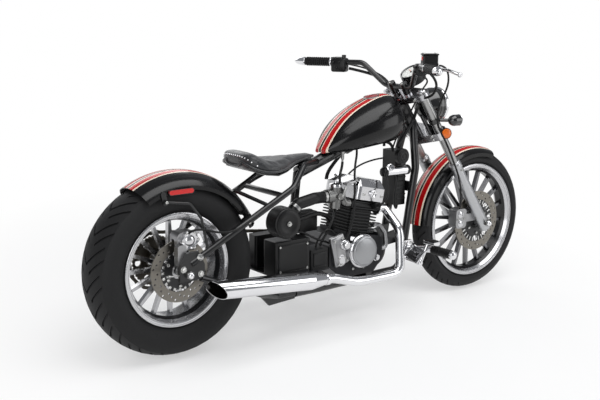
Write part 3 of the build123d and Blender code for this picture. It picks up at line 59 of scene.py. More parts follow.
PARKED = Matrix.Translation(Vector(rear_hub["pos_m"]) - lean_over @ REAR_AXLE) @ lean_over
UPRIGHT = PARKED.inverted()
# Fork coordinates: x square to the legs and forward, y left, z up along the legs from the front axle
FORK = Matrix.Translation(FRONT_AXLE) @ Matrix.Rotation(-RAKE, 4, "Y")
# Engine coordinates: z up along the leaning barrel from the crankcase, x forward across it
ENGINE = Matrix.Translation((0.808, 0, 0.345)) @ Matrix.Rotation(radians(12), 4, "Y")

# Studio. A pale floor that fades to white, soft panels overhead and at the sides, and a camera at the
# rear right at about head height, carried with the leaned bike so that it sees it as photographed.
CAMERA_AT = Vector((-1.6159, -2.9053, 1.2042))
CAMERA_YAW = radians(52.99)
CAMERA_PITCH = radians(-11.11)
CAMERA_ROLL = radians(0.51)
LENS = 58.03


def linear(code):
    """An sRGB hex colour as linear red, green, blue and alpha."""
    parts = [int(code[i : i + 2], 16) / 255 for i in (1, 3, 5)]
    return [c / 12.92 if c <= 0.04045 else ((c + 0.055) / 1.055) ** 2.4 for c in parts] + [1.0]


def put(tree, kind, settings=None, links=None):
    """Add a kind of shader node with its settings, ramp steps and links, keyed by socket name or number."""
    made = tree.nodes.new("ShaderNode" + kind)
    for name, value in (settings or {}).items():
        if name == "steps":
            made.color_ramp.interpolation = "CONSTANT"
            while len(made.color_ramp.elements) < len(value):
                made.color_ramp.elements.new(1)
            for step, (start, colour) in zip(made.color_ramp.elements, value):
                step.position = start
                step.color = colour
        elif isinstance(name, int) or name in made.inputs:
            made.inputs[name].default_value = value
        else:
            setattr(made, name, value)
    for name, source in (links or {}).items():
        tree.links.new(source, made.inputs[name])
    return made


def material(name, settings):
    """A new material with its main shader set; gives the material, its tree and the shader."""
    made = bpy.data.materials.new(name)
    made.use_nodes = True
    shader = made.node_tree.nodes["Principled BSDF"]
    for socket, value in settings.items():
        shader.inputs[socket].default_value = value
    return made, made.node_tree, shader


sight = Vector((cos(CAMERA_PITCH) * cos(CAMERA_YAW), cos(CAMERA_PITCH) * sin(CAMERA_YAW), sin(CAMERA_PITCH)))
level = Vector((sin(CAMERA_YAW), -cos(CAMERA_YAW), 0))
above = level.cross(sight)
right = cos(CAMERA_ROLL) * level + sin(CAMERA_ROLL) * above
above = cos(CAMERA_ROLL) * above - sin(CAMERA_ROLL) * level
bpy.ops.object.camera_add()
camera = bpy.context.object
camera.data.lens = LENS
camera.matrix_world = (
    PARKED @ Matrix.Translation(CAMERA_AT) @ Matrix((right, above, -sight)).transposed().to_4x4()
)
bpy.context.scene.camera = camera

bpy.ops.object.select_all(action="DESELECT")
bpy.ops.mesh.primitive_plane_add(size=60, location=(0, 0, 0))
floor = bpy.context.object
floor.name = "studio_floor"
# Matt white floor paint: soft shadow near the bike, plain white further off
floor_paint, tree, shader = material("matt_floor_paint", {"Base Color": linear("#F4F4F4"), "Roughness": 0.9})
place = put(tree, "TexCoord")
away = put(tree, "VectorMath", {"operation": "LENGTH"}, {0: place.outputs["Object"]})
fade = put(
    tree,
    "MapRange",
    {"From Min": 0.75, "From Max": 1.7, "To Min": 0.45, "To Max": 1.0},
    {"Value": away.outputs["Value"]},
)
ray = put(tree, "LightPath")
seen = put(
    tree,
    "Math",
    {"operation": "MAXIMUM"},
    {0: ray.outputs["Is Camera Ray"], 1: ray.outputs["Is Glossy Ray"]},
)
shown = put(
    tree,
    "Math",
    {"operation": "MAXIMUM"},
    {0: seen.outputs[0], 1: ray.outputs["Is Transmission Ray"]},
)
share = put(tree, "Math", {"operation": "MULTIPLY"}, {0: shown.outputs[0], 1: fade.outputs[0]})
white = put(tree, "Emission", {"Color": linear("#FFFFFF"), "Strength": 1.0})
mixed = put(
    tree, "MixShader", {}, {0: share.outputs[0], 1: shader.outputs[0], 2: white.outputs[0]}
)
tree.links.new(mixed.outputs[0], tree.nodes["Material Output"].inputs["Surface"])
floor.data.materials.append(floor_paint)

world = bpy.data.worlds.new("studio")
world.use_nodes = True
tree = world.node_tree
room = tree.nodes["Background"]
room.inputs["Color"].default_value = linear("#F2F5FA")
room.inputs["Strength"].default_value = 0.3
ray = put(tree, "LightPath")
white = put(tree, "Background", {"Color": linear("#FFFFFF"), "Strength": 1.0})
mixed = put(
    tree, "MixShader", {}, {0: ray.outputs["Is Camera Ray"], 1: room.outputs[0], 2: white.outputs[0]}
)
tree.links.new(mixed.outputs[0], tree.nodes["World Output"].inputs["Surface"])
bpy.context.scene.world = world
# Light panels: place, aim, width, depth and power
PANELS = (
    ((0.2, -0.7, 3.4), (0.2, 0.0, 0.4), 3.6, 2.2, 84),
    ((-3.0, -2.6, 1.9), (0.0, 0.0, 0.5), 2.4, 2.6, 46),
    ((2.8, -3.0, 1.8), (0.4, 0.0, 0.5), 2.0, 2.4, 34),
    ((0.3, 3.4, 2.0), (0.0, 0.0, 0.5), 3.0, 1.6, 34),
)
for spot, aim, wide, deep, power in PANELS:
    bpy.ops.object.light_add(type="AREA", location=spot)
    panel = bpy.context.object
    panel.data.shape = "RECTANGLE"
    panel.data.size = wide
    panel.data.size_y = deep
    panel.data.energy = power
    panel.rotation_euler = (Vector(aim) - Vector(spot)).to_track_quat("-Z", "Y").to_euler()
bpy.context.scene.view_settings.view_transform = "Standard"

# Wheel castings. Cast aluminium, painted black inside the barrel, with the lips machined bright.
# The rear's spokes are silver, the front's a duller grey, and each lip carries a turned step.


def grain(tree, shader, size, smooth, rough, bump):
    """Vary the roughness over patches of a real size in metres, and raise a fine grain on the surface."""
    place = put(tree, "TexCoord")
    patches = put(tree, "TexNoise", {"Scale": 1 / size, "Detail": 4.0}, {"Vector": place.outputs["Object"]})
    spread = put(
        tree, "MapRange", {"To Min": smooth, "To Max": rough}, {"Value": patches.outputs["Fac"]}
    )
    tree.links.new(spread.outputs[0], shader.inputs["Roughness"])
    raised = put(
        tree, "Bump", {"Strength": bump, "Distance": size / 4}, {"Height": patches.outputs["Fac"]}
    )
    tree.links.new(raised.outputs[0], shader.inputs["Normal"])


def ringed(name, axle, bands, smooth=0.2):
    """A finish in rings round an axle: rows of inner radius, colour, and 1 for metal or 0 for paint."""
    made, tree, shader = material(name, {"Roughness": smooth})
    place = put(tree, "TexCoord")
    centred = put(
        tree,
        "Mapping",
        {"Rotation": (LEAN, 0, 0), "Location": UPRIGHT.translation - axle},
        {"Vector": place.outputs["Object"]},
    )
    flat = put(
        tree, "VectorMath", {"operation": "MULTIPLY", 1: (1, 0, 1)}, {0: centred.outputs[0]}
    )
    radius = put(tree, "VectorMath", {"operation": "LENGTH"}, {0: flat.outputs[0]})
    colour = put(
        tree,
        "ValToRGB",
        {"steps": [(start, linear(code)) for start, code, _ in bands]},
        {"Fac": radius.outputs["Value"]},
    )
    bare = put(
        tree,
        "ValToRGB",
        {"steps": [(start, (metal, metal, metal, 1)) for start, _, metal in bands]},
        {"Fac": radius.outputs["Value"]},
    )
    tree.links.new(colour.outputs[0], shader.inputs["Base Color"])
    tree.links.new(bare.outputs[0], shader.inputs["Metallic"])
    grain(tree, shader, 0.004, smooth - 0.06, smooth + 0.14, 0.04)
    return made


def coat(finish, *names):
    """Give a finish to CAD nodes."""
    for name in names:
        slots = frame["nodes"][name].data.materials
        slots.clear()
        slots.append(finish)


def alone(piece):
    """Make a piece the only one selected, and the active one."""
    bpy.ops.object.select_all(action="DESELECT")
    piece.select_set(True)
    bpy.context.view_layer.objects.active = piece


def cleaned(piece):
    """Merge points that lie on one another and turn every face outward."""
    alone(piece)
    bpy.ops.object.mode_set(mode="EDIT")
    bpy.ops.mesh.select_all(action="SELECT")
    bpy.ops.mesh.remove_doubles(threshold=0.00001)
    bpy.ops.mesh.normals_make_consistent(inside=False)
    bpy.ops.object.mode_set(mode="OBJECT")
    return piece


def turned(name, profile, steps=64):
    """Draw a half section, rows of radius and height, and spin it round z."""
    mesh = bpy.data.meshes.new(name)
    mesh.from_pydata([(r, 0, h) for r, h in profile], [(i, i + 1) for i in range(len(profile) - 1)], [])
    piece = bpy.data.objects.new(name, mesh)
    bpy.context.collection.objects.link(piece)
    alone(piece)
    bpy.ops.object.mode_set(mode="EDIT")
    bpy.ops.mesh.select_all(action="SELECT")
    bpy.ops.mesh.spin(steps=steps, angle=2 * pi, center=(0, 0, 0), axis=(0, 0, 1))
    bpy.ops.object.mode_set(mode="OBJECT")
    return cleaned(piece)


def spot_at(origin, axis=(0, 0, 1), turn=0.0, size=1.0):
    """The place of something drawn about z: its origin, the way its z points, its turn and its size."""
    way = Vector(axis).to_track_quat("Z", "Y").to_matrix().to_4x4()
    return Matrix.Translation(origin) @ way @ Matrix.Rotation(turn, 4, "Z") @ Matrix.Scale(size, 4)


def fit(piece, body, finish, crease=40):
    """Lean a finished piece over with the bike, smooth it, give it its finish and let it ride on its body."""
    piece.data.transform(PARKED)
    piece.data.materials.clear()
    piece.data.materials.append(finish)
    alone(piece)
    bpy.ops.object.shade_smooth_by_angle(angle=radians(crease))
    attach(piece, body)
    return piece


def repeated(name, pattern, places):
    """Copy a modelled mesh to each place and join the copies into one piece."""
    bpy.ops.object.select_all(action="DESELECT")
    for place in places:
        copy = bpy.data.objects.new(name, pattern.copy())
        bpy.context.collection.objects.link(copy)
        copy.data.transform(place)
        copy.select_set(True)
    bpy.context.view_layer.objects.active = copy
    if len(places) > 1:
        bpy.ops.object.join()
    bpy.context.object.name = name
    return bpy.context.object


def taken(piece):
    """Keep a modelled piece's mesh as a pattern and drop the object."""
    mesh = piece.data
    bpy.data.objects.remove(piece)
    return mesh


def turned_set(name, profile, steps, places, body, finish):
    """Turn a half section, set it at each place and fit the set as one piece."""
    return fit(repeated(name, taken(turned(name, profile, steps)), places), body, finish)


# Wheel aluminium: silver hub and spokes, a black barrel and a bright machined lip
rear_casting = ringed(
    "rear_wheel_casting",
    REAR_AXLE,
    [(0.0, "#B4B4B6", 1), (0.1685, "#131315", 0), (0.1765, "#C8C8CA", 1)],
)
# The same at the front, with duller grey spokes
front_casting = ringed(
    "front_wheel_casting",
    FRONT_AXLE,
    [(0.0, "#7C7C7E", 1), (0.2105, "#111113", 0), (0.2225, "#C8C8CA", 1)],
)
coat(rear_casting, "rear_rim")
coat(front_casting, "front_rim")
# Machined steps on both lips: name, axle, body, lip radius, lip half width and finish
LIPS = (
    ("rear_lip_step", REAR_AXLE, "rear_wheel", 0.204, 0.066, rear_casting),
    ("front_lip_step", FRONT_AXLE, "front_wheel", 0.247, 0.040, front_casting),
)
for name, axle, body, lip, half, finish in LIPS:
    step = [
        (lip - 0.0005, 0.0),
        (lip - 0.0005, 0.0022),
        (lip - 0.0022, 0.0034),
        (lip - 0.0052, 0.0034),
        (lip - 0.0062, 0.0012),
        (lip - 0.0112, 0.0012),
        (lip - 0.0120, 0.0026),
        (lip - 0.0148, 0.0022),
        (lip - 0.0148, 0.0),
        (lip - 0.0005, 0.0),
    ]
    places = [spot_at(axle + Vector((0, side * half, 0)), (0, side, 0)) for side in (-1, 1)]
    turned_set(name, step, 96, places, body, finish)

# Tyres. Black road rubber, moulded with slanting grooves over the crown and plain side walls;
# the rear is a fat 15-inch size, the front a narrow 18-inch one.


def arc(start, middle, end, count):
    """Points round the circle through three points, its end left out."""
    (ax, ay), (bx, by), (cx, cy) = start, middle, end
    span = 2 * (ax * (by - cy) + bx * (cy - ay) + cx * (ay - by))
    sa, sb, sc = ax * ax + ay * ay, bx * bx + by * by, cx * cx + cy * cy
    ox = (sa * (by - cy) + sb * (cy - ay) + sc * (ay - by)) / span
    oy = (sa * (cx - bx) + sb * (ax - cx) + sc * (bx - ax)) / span
    first = atan2(ay - oy, ax - ox)
    sweep = (atan2(cy - oy, cx - ox) - first + pi) % (2 * pi) - pi
    reach = hypot(ax - ox, ay - oy)
    turns = [first + sweep * i / count for i in range(count)]
    return [(ox + reach * cos(turn), oy + reach * sin(turn)) for turn in turns]


def push_in(piece, chosen, thickness, depth):
    """Inset the faces whose numbers are chosen, as regions, and move them along their normals."""
    alone(piece)
    bpy.context.tool_settings.mesh_select_mode = (False, False, True)
    bpy.ops.object.mode_set(mode="EDIT")
    bpy.ops.mesh.select_all(action="DESELECT")
    bpy.ops.object.mode_set(mode="OBJECT")
    for face in piece.data.polygons:
        face.select = face.index in chosen
    bpy.ops.object.mode_set(mode="EDIT")
    bpy.ops.mesh.inset(thickness=thickness, depth=depth)
    bpy.ops.object.mode_set(mode="OBJECT")


def grained(name, colour, size, smooth, rough, bump, more=None):
    """A finish of one colour that only varies in its grain; more holds other settings of its shader."""
    made, tree, shader = material(name, {"Base Color": linear(colour), **(more or {})})
    grain(tree, shader, size, smooth, rough, bump)
    return made


# Tyre compound: dull black with a dusty bloom and a fine moulded grain
tyre_rubber = grained("tyre_rubber", "#161617", 0.003, 0.55, 0.8, 0.08, {"Specular IOR Level": 0.35})
GROOVE_DEPTH = 0.0055
# Name, axle, body, outer radius, half width, lip radius and half, shoulder radius and half,
# number of grooves, their width and their slant in radians a metre
TYRES = (
    ("rear_tyre", REAR_AXLE, "rear_wheel", 0.316, 0.089, 0.204, 0.066, 0.2936, 0.07832, 40, 0.0115, 3.2),
    ("front_tyre", FRONT_AXLE, "front_wheel", 0.308, 0.046, 0.247, 0.040, 0.28604, 0.03956, 50, 0.008, 4.4),
)
for node, axle, body, radius, half, lip, lip_half, shoulder, edge, grooves, width, slant in TYRES:
    seat = lip - 0.0138
    bead = lip_half - 0.0067
    wall = lip + 0.65 * (shoulder - lip)
    flank = arc((lip + 0.002, -bead), (wall, -half), (shoulder, -edge), 7)
    flank[2] = (flank[2][0], flank[2][1] - 0.0022)
    flank[4] = (flank[4][0], flank[4][1] - 0.0012)
    crown = arc((shoulder, -edge), (radius, 0), (shoulder, edge), 16)
    section = [(seat, bead), (seat, -bead), *flank, *crown, (shoulder, edge)]
    section += [(r, -h) for r, h in reversed(flank)] + [(seat, bead)]
    tread = turned(node + "_treaded", section, 2 * grooves)
    pitch = 2 * pi / grooves
    columns = {}
    for vertex in tread.data.vertices:
        x, y, z = vertex.co
        column = round(atan2(y, x) % (2 * pi) / (pitch / 2)) % (2 * grooves)
        columns[vertex.index] = column
        turn = column // 2 * pitch + column % 2 * width / radius + slant * abs(z)
        reach = hypot(x, y)
        vertex.co = (reach * cos(turn), reach * sin(turn), z)
    chosen = set()
    for face in tread.data.polygons:
        pair = sorted({columns[v] for v in face.vertices})
        across = abs(face.center.z)
        # Every other groove runs from the middle, the rest from a third of the way out
        inner, outer = (0.004, 0.86 * edge) if pair[0] // 2 % 2 else (0.30 * edge, 0.99 * edge)
        if pair[0] % 2 == 0 and pair[-1] - pair[0] == 1 and inner < across < outer:
            if hypot(face.center.x, face.center.y) > shoulder - 0.004:
                chosen.add(face.index)
    push_in(tread, chosen, 0.0007, -GROOVE_DEPTH)
    tread.data.transform(spot_at(axle, (0, 1, 0)))
    fit(tread, body, tyre_rubber, 32)
    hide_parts(node)

# Brake discs. Drilled stainless steel bands on black carriers, joined by a ring of drive buttons. Each
# carrier is held to its hub by six socket screws.


def shaped(add, name, **sizes):
    """Add a primitive with nothing else selected, to be worked further."""
    bpy.ops.object.select_all(action="DESELECT")
    add(**sizes)
    bpy.context.object.name = name
    return bpy.context.object


def rounded(piece, size, segments=2, sharper=30):
    """Bevel the edges that turn more than an angle, and apply it."""
    alone(piece)
    soft = piece.modifiers.new("edges", "BEVEL")
    soft.width = size
    soft.segments = segments
    soft.limit_method = "ANGLE"
    soft.angle_limit = radians(sharper)
    bpy.ops.object.modifier_apply(modifier=soft.name)
    return piece


def facing(piece, way, near=0.9):
    """The numbers of the faces that look along a direction."""
    return {f.index for f in piece.data.polygons if f.normal.dot(Vector(way)) > near}


def joined(name, parts):
    """Join pieces into the first of them, under one name."""
    bpy.ops.object.select_all(action="DESELECT")
    for part in parts:
        part.select_set(True)
    bpy.context.view_layer.objects.active = parts[0]
    bpy.ops.object.join()
    parts[0].name = name
    return parts[0]


def cylinder(name, sides, radius, depth):
    """A plain cylinder about z."""
    return shaped(bpy.ops.mesh.primitive_cylinder_add, name, vertices=sides, radius=radius, depth=depth)


def block(name, size, edge, segments=2):
    """A cube drawn out to a size, its edges rounded."""
    piece = shaped(bpy.ops.mesh.primitive_cube_add, name, size=1)
    piece.data.transform(Matrix.Diagonal((*size, 1)))
    return rounded(piece, edge, segments)


# Disc steel: a warm grey swept band on a black carrier
rear_band = ringed("rear_brake_disc", REAR_AXLE, [(0.0, "#1C1C1D", 0), (0.074, "#827E77", 1)], 0.3)
front_band = ringed("front_brake_disc", FRONT_AXLE, [(0.0, "#1C1C1D", 0), (0.092, "#827E77", 1)], 0.3)
coat(rear_band, "rear_disc")
coat(front_band, "front_disc")
# Bright zinc plate of screws and nuts: pale, with dull patches
zinc_plate = grained("zinc_plate", "#C4C4C2", 0.006, 0.16, 0.36, 0.02, {"Metallic": 1.0})
# Socket screw: round head, chamfered, with a blind socket; drawn with its seat at z = 0
screw = cylinder("screw", 14, 0.006, 0.006)
screw.data.transform(Matrix.Translation((0, 0, 0.003)))
push_in(screw, facing(screw, (0, 0, 1)), 0.0009, 0.0007)
push_in(screw, facing(screw, (0, 0, 1)), 0.0022, 0.0)
push_in(screw, facing(screw, (0, 0, 1)), 0.0001, -0.003)
SCREW = taken(screw)
# Hexagon nut on a washer, its top edge chamfered
nut = cylinder("nut", 6, 0.0088, 0.006)
nut.data.transform(Matrix.Translation((0, 0, 0.0045)))
push_in(nut, facing(nut, (0, 0, 1)), 0.0012, 0.0008)
push_in(nut, facing(nut, (0, 0, 1)), 0.0022, 0.0018)
washer = turned(
    "washer",
    [(0.003, 0.0), (0.0105, 0.0), (0.0105, 0.0012), (0.0098, 0.0016), (0.003, 0.0016), (0.003, 0.0)],
    16,
)
NUT = taken(joined("nut", [nut, washer]))


def touch(node, start, way):
    """Where a straight line from an upright point first meets a CAD node, and the surface's normal there."""
    thing = frame["nodes"][node]
    into = thing.matrix_world.inverted() @ PARKED
    hit, at, normal, _ = thing.ray_cast(into @ Vector(start), (into.to_3x3() @ Vector(way)).normalized())
    if not hit:
        raise ValueError(f"nothing of {node} from {tuple(start)}")
    back = into.inverted()
    return back @ at, (back.to_3x3() @ normal).normalized()


def fixed(name, pattern, places, body):
    """Fit zinc-plated fixings at their places as one piece."""
    return fit(repeated(name, pattern, places), body, zinc_plate, 30)


def bolted(name, pattern, body, rows):
    """Set screws or nuts where lines meet CAD nodes: rows of node, start, direction and size."""
    places = []
    for node, start, way, size in rows:
        at, normal = touch(node, start, way)
        places.append(spot_at(at - normal * 0.0004, normal, 0.3, size))
    return fixed(name, pattern, places, body)


around = [(cos(radians(60 * i + 30)), sin(radians(60 * i + 30))) for i in range(6)]
for name, node, axle, body, ring in (
    ("rear_disc_screws", "rear_disc", REAR_AXLE, "rear_wheel", 0.054),
    ("front_disc_screws", "front_disc", FRONT_AXLE, "front_wheel", 0.054),
):
    rows = [(node, axle + Vector((ring * c, -0.12, ring * s)), (0, 1, 0), 1.0) for c, s in around]
    bolted(name, SCREW, body, rows)
# Drive buttons round each carrier: side face, ring radius, count, length and width
for name, axle, body, side, ring, count, sizes in (
    ("rear_disc_slots", REAR_AXLE, "rear_wheel", -0.0752, 0.0665, 20, (0.010, 0.009)),
    ("front_disc_slots", FRONT_AXLE, "front_wheel", -0.0627, 0.083, 28, (0.018, 0.006)),
):
    pattern = taken(block(name, (*sizes, 0.0024), 0.0007, 1))
    places = []
    for index in range(count):
        turn = Matrix.Rotation(2 * pi * index / count, 4, "Z") @ Matrix.Translation((ring, 0, 0))
        places.append(spot_at(axle + Vector((0, side, 0)), (0, -1, 0)) @ turn)
    fixed(name, pattern, places, body)

# Axles. Ground steel spindles with bright domed nuts at their ends. Thin threaded bolts draw the rear
# one back in its plates to tighten the chain.

# Ground steel: grey with a soft, uneven shine
satin_steel = grained("satin_steel", "#A5A5A4", 0.004, 0.22, 0.4, 0.03, {"Metallic": 1.0})
# Chrome: mirror bright with the faintest wiping marks
chrome_plate = grained("chrome_plate", "#E4E4E6", 0.02, 0.04, 0.1, 0.0, {"Metallic": 1.0})
coat(satin_steel, "rear_axle", "front_axle")
dome = [(0.0, 0.012), (0.005, 0.0114), (0.0095, 0.009), (0.012, 0.005), (0.0125, 0.0), (0.0, 0.0)]
for name, node, axle, body in (
    ("rear_axle_domes", "rear_axle", REAR_AXLE, "chassis"),
    ("front_axle_domes", "front_axle", FRONT_AXLE, "steering"),
):
    places = []
    for side in (-1, 1):
        at, normal = touch(node, axle + Vector((0, side * 0.3, 0)), (0, -side, 0))
        places.append(spot_at(at - normal * 0.0002, normal))
    turned_set(name, dome, 24, places, body, chrome_plate)
rod = [
    (0.0, 0.0), (0.003, 0.0), (0.003, 0.038), (0.0055, 0.038), (0.0055, 0.044), (0.003, 0.044),
    (0.003, 0.052), (0.0, 0.052),
]
places = [spot_at((-0.032, side * 0.13, 0.317), (-1, 0, 0.02)) for side in (-1, 1)]
turned_set("chain_adjusters", rod, 12, places, "chassis", satin_steel)

# Drive chain. Steel roller chain of 15.9 mm pitch, oiled dark: paired side plates over rollers,
# run round the wheel's and the engine's sprockets on the left.
CHAIN_PITCH = 0.015875
CHAIN_Y = 0.102
REAR_RUN = Vector((0, 0.316, 0.103))
DRIVE_RUN = Vector((0.668, 0.292, 0.0472))
# Chain steel: brown-grey, wet with oil in patches
oiled_steel = grained("oiled_steel", "#57534C", 0.003, 0.25, 0.5, 0.03, {"Metallic": 1.0})
coat(oiled_steel, "rear_sprocket")
chain_parts = []
for inner, offset in ((0.0, 0.0059), (1.0, 0.0043)):
    for side in (-1, 1):
        plate = cylinder("plate", 12, 0.0057, 0.0014)
        for vertex in plate.data.vertices:
            if vertex.co.x > 0.0001:
                vertex.co.x += CHAIN_PITCH
        plate.data.transform(Matrix.Translation((inner * CHAIN_PITCH, 0, side * offset)))
        chain_parts.append(plate)
for along in (0.0, 1.0):
    roller = cylinder("roller", 8, 0.0045, 0.0072)
    roller.data.transform(Matrix.Translation((along * CHAIN_PITCH, 0, 0)))
    chain_parts.append(roller)
LINKS = taken(joined("chain_links", chain_parts))
gap = (DRIVE_RUN - REAR_RUN).xy
slope = atan2(gap.y, gap.x)
open_angle = pi / 2 - atan2(REAR_RUN.z - DRIVE_RUN.z, gap.length)
straight = (gap.length**2 - (REAR_RUN.z - DRIVE_RUN.z) ** 2) ** 0.5
arc_drive = 2 * open_angle * DRIVE_RUN.z
arc_rear = (2 * pi - 2 * open_angle) * REAR_RUN.z
around_all = 2 * straight + arc_drive + arc_rear


def on_chain(run):
    """The point of the chain's loop at a distance along it."""
    run %= around_all
    high = Vector((cos(slope + open_angle), sin(slope + open_angle)))
    low = Vector((cos(slope - open_angle), sin(slope - open_angle)))
    if run < straight:
        return (REAR_RUN.xy + high * REAR_RUN.z).lerp(DRIVE_RUN.xy + high * DRIVE_RUN.z, run / straight)
    run -= straight
    if run < arc_drive:
        turn = slope + open_angle - run / DRIVE_RUN.z
        return DRIVE_RUN.xy + DRIVE_RUN.z * Vector((cos(turn), sin(turn)))
    run -= arc_drive
    if run < straight:
        return (DRIVE_RUN.xy + low * DRIVE_RUN.z).lerp(REAR_RUN.xy + low * REAR_RUN.z, run / straight)
    turn = slope - open_angle - (run - straight) / REAR_RUN.z
    return REAR_RUN.xy + REAR_RUN.z * Vector((cos(turn), sin(turn)))


pairs = round(around_all / (2 * CHAIN_PITCH))
places = []
for index in range(pairs):
    here = on_chain(index * around_all / pairs)
    ahead = on_chain((index + 0.5) * around_all / pairs)
    turn = Matrix.Rotation(pi / 2, 4, "X") @ Matrix.Rotation(
        atan2(ahead.y - here.y, ahead.x - here.x), 4, "Z"
    )
    places.append(Matrix.Translation((here.x, CHAIN_Y, here.y)) @ turn)
chain = fit(repeated("roller_chain", LINKS, places), "chassis", oiled_steel, 30)
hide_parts("drive_chain")

# Frame. Bent steel tubes and flat plates, welded together and powder coated black. Bright nuts sit on
# the axle plates.

# Powder coat: satin black, with the faint orange peel of baked powder
powder_coat = grained("black_powder_coat", "#08080A", 0.0025, 0.26, 0.38, 0.05, {"Coat Weight": 0.3})
coat(powder_coat, "main_frame", "rear_frame", "side_stand", "seat_pan", "handlebar", "lever_perches")
rows = []
for side in (-1, 1):
    for x, z in ((0.044, 0.372), (0.048, 0.312), (-0.02, 0.336)):
        rows.append(("rear_frame", (x, side * 0.3, z), (0, -side, 0), 1.1))
bolted("axle_plate_nuts", NUT, "chassis", rows)

# Fenders and fuel tank. Pressed steel, lacquered black under clear coat, with a red and cream double
# stripe along the middle; the fenders hang on small tabs and the tank sits over the frame's spine.

BLACK = "#070708"
# The stripe's steps below are shares of this distance from the middle line
STRIPE_REACH = 0.05


def striped(name, centre):
    """Black lacquer with the stripe painted on surfaces that look away from a centre."""
    made, tree, shader = material(
        name, {"Coat Weight": 0.3, "Coat Roughness": 0.1, "Specular IOR Level": 0.2}
    )
    place = put(tree, "TexCoord")
    upright = put(
        tree,
        "Mapping",
        {"Rotation": (LEAN, 0, 0), "Location": UPRIGHT.translation},
        {"Vector": place.outputs["Object"]},
    )
    sides = put(tree, "SeparateXYZ", {}, {0: upright.outputs[0]})
    across = put(tree, "Math", {"operation": "ABSOLUTE"}, {0: sides.outputs["Y"]})
    spread = put(tree, "Math", {"operation": "MULTIPLY", 1: 1 / STRIPE_REACH}, {0: across.outputs[0]})
    stripe = [(0.0, BLACK), (0.11, "#EBDCC8"), (0.19, "#B4090E"), (0.62, "#EBDCC8"), (0.75, BLACK)]
    bands = put(
        tree, "ValToRGB", {"steps": [(at, linear(code)) for at, code in stripe]}, {0: spread.outputs[0]}
    )
    looks = put(
        tree,
        "Mapping",
        {"vector_type": "VECTOR", "Rotation": (LEAN, 0, 0)},
        {"Vector": place.outputs["Normal"]},
    )
    outward = put(
        tree, "VectorMath", {"operation": "SUBTRACT", 1: centre}, {0: upright.outputs[0]}
    )
    towards = put(
        tree, "VectorMath", {"operation": "DOT_PRODUCT"}, {0: outward.outputs[0], 1: looks.outputs[0]}
    )
    outer = put(tree, "Math", {"operation": "GREATER_THAN", 1: 0.02}, {0: towards.outputs["Value"]})
    paint = put(
        tree,
        "Mix",
        {"data_type": "RGBA", 6: linear(BLACK)},
        {0: outer.outputs[0], 7: bands.outputs[0]},
    )
    tree.links.new(paint.outputs[2], shader.inputs["Base Color"])
    # Lacquer: deep and glossy, with a faint unevenness in what it mirrors
    grain(tree, shader, 0.03, 0.2, 0.3, 0.015)
    return made


coat(striped("rear_fender_lacquer", REAR_AXLE), "rear_fender")
coat(striped("front_fender_lacquer", FRONT_AXLE), "front_fender")
coat(striped("tank_lacquer", Vector((1.2, 0, 0.5))), "fuel_tank")
rows = []
for side in (-1, 1):
    rows.append(("rear_frame", (-0.068, side * 0.3, 0.570), (0, -side, 0), 0.9))
    rows.append(("rear_frame", (0.245, side * 0.3, 0.468), (0, -side, 0), 0.9))
bolted("fender_screws", SCREW, "chassis", rows)

# Side markers. Moulded red plastic lenses, one on each side of the rear fender, each held in a thin
# black frame.


def laid(name, route, radius, sides=2, closed=False, round_off=True):
    """Lay a tube along a route as a mesh; gives the piece and its leaned line's points."""
    curve = bpy.data.curves.new(name, "CURVE")
    curve.dimensions = "3D"
    line = curve.splines.new("NURBS" if round_off else "POLY")
    line.points.add(len(route) - 1)
    for point, at in zip(line.points, route):
        point.co = (*at, 1)
    if round_off:
        line.order_u = 3
        line.use_endpoint_u = not closed
    line.use_cyclic_u = closed
    curve.resolution_u = 5
    drawn = bpy.data.objects.new(name, curve)
    bpy.context.collection.objects.link(drawn)
    bpy.context.view_layer.update()
    thread = bpy.data.meshes.new_from_object(drawn.evaluated_get(bpy.context.evaluated_depsgraph_get()))
    path = [PARKED @ v.co for v in thread.vertices]
    curve.bevel_depth = radius
    curve.bevel_resolution = sides
    curve.use_fill_caps = not closed
    bpy.context.view_layer.update()
    mesh = bpy.data.meshes.new_from_object(drawn.evaluated_get(bpy.context.evaluated_depsgraph_get()))
    bpy.data.objects.remove(drawn)
    piece = bpy.data.objects.new(name, mesh)
    bpy.context.collection.objects.link(piece)
    return cleaned(piece), path


# Moulded lens plastic: clear red with fine ribs inside, and a faint painted glow
red_lens = grained(
    "red_lens_plastic",
    "#BE0D0B",
    0.004,
    0.12,
    0.25,
    0.1,
    {"Coat Weight": 0.3, "Emission Color": linear("#C81410"), "Emission Strength": 0.06},
)
coat(red_lens, "tail_lamps")
frame_route = []
for index in range(24):
    turn = 2 * pi * index / 24
    end = 0.039 if cos(turn) > 0 else -0.039
    frame_route.append((end + 0.0092 * cos(turn), 0.0092 * sin(turn), 0))
bezel, _ = laid("marker_bezel", frame_route, 0.0016, closed=True, round_off=False)
BEZEL = taken(bezel)
places = [
    Matrix.Translation((-0.006, side * 0.107, 0.600)) @ Matrix.Rotation(pi / 2, 4, "X") for side in (-1, 1)
]
fit(repeated("marker_bezels", BEZEL, places), "chassis", powder_coat)

# Filler cap. A flush cap of red enamelled steel, let into the top of the tank. A turned steel ring
# closes the gap round it.
CAP_AT = Vector((0.926, 0, 0.860))
CAP_WAY = Vector((-sin(radians(11)), 0, cos(radians(11))))
# Red enamel: deep and glossy, as smooth as glass
cap_red = grained("red_enamel", "#B3191B", 0.01, 0.15, 0.25, 0.0, {"Coat Weight": 1.0})
coat(cap_red, "filler_cap")
ring = [
    (0.0285, 0.0118), (0.0290, 0.0126), (0.0305, 0.0126), (0.0325, 0.0112), (0.0325, 0.006),
    (0.0304, 0.006), (0.0304, 0.0112), (0.0285, 0.0118),
]
turned_set("filler_ring", ring, 48, [spot_at(CAP_AT, CAP_WAY)], "chassis", satin_steel)

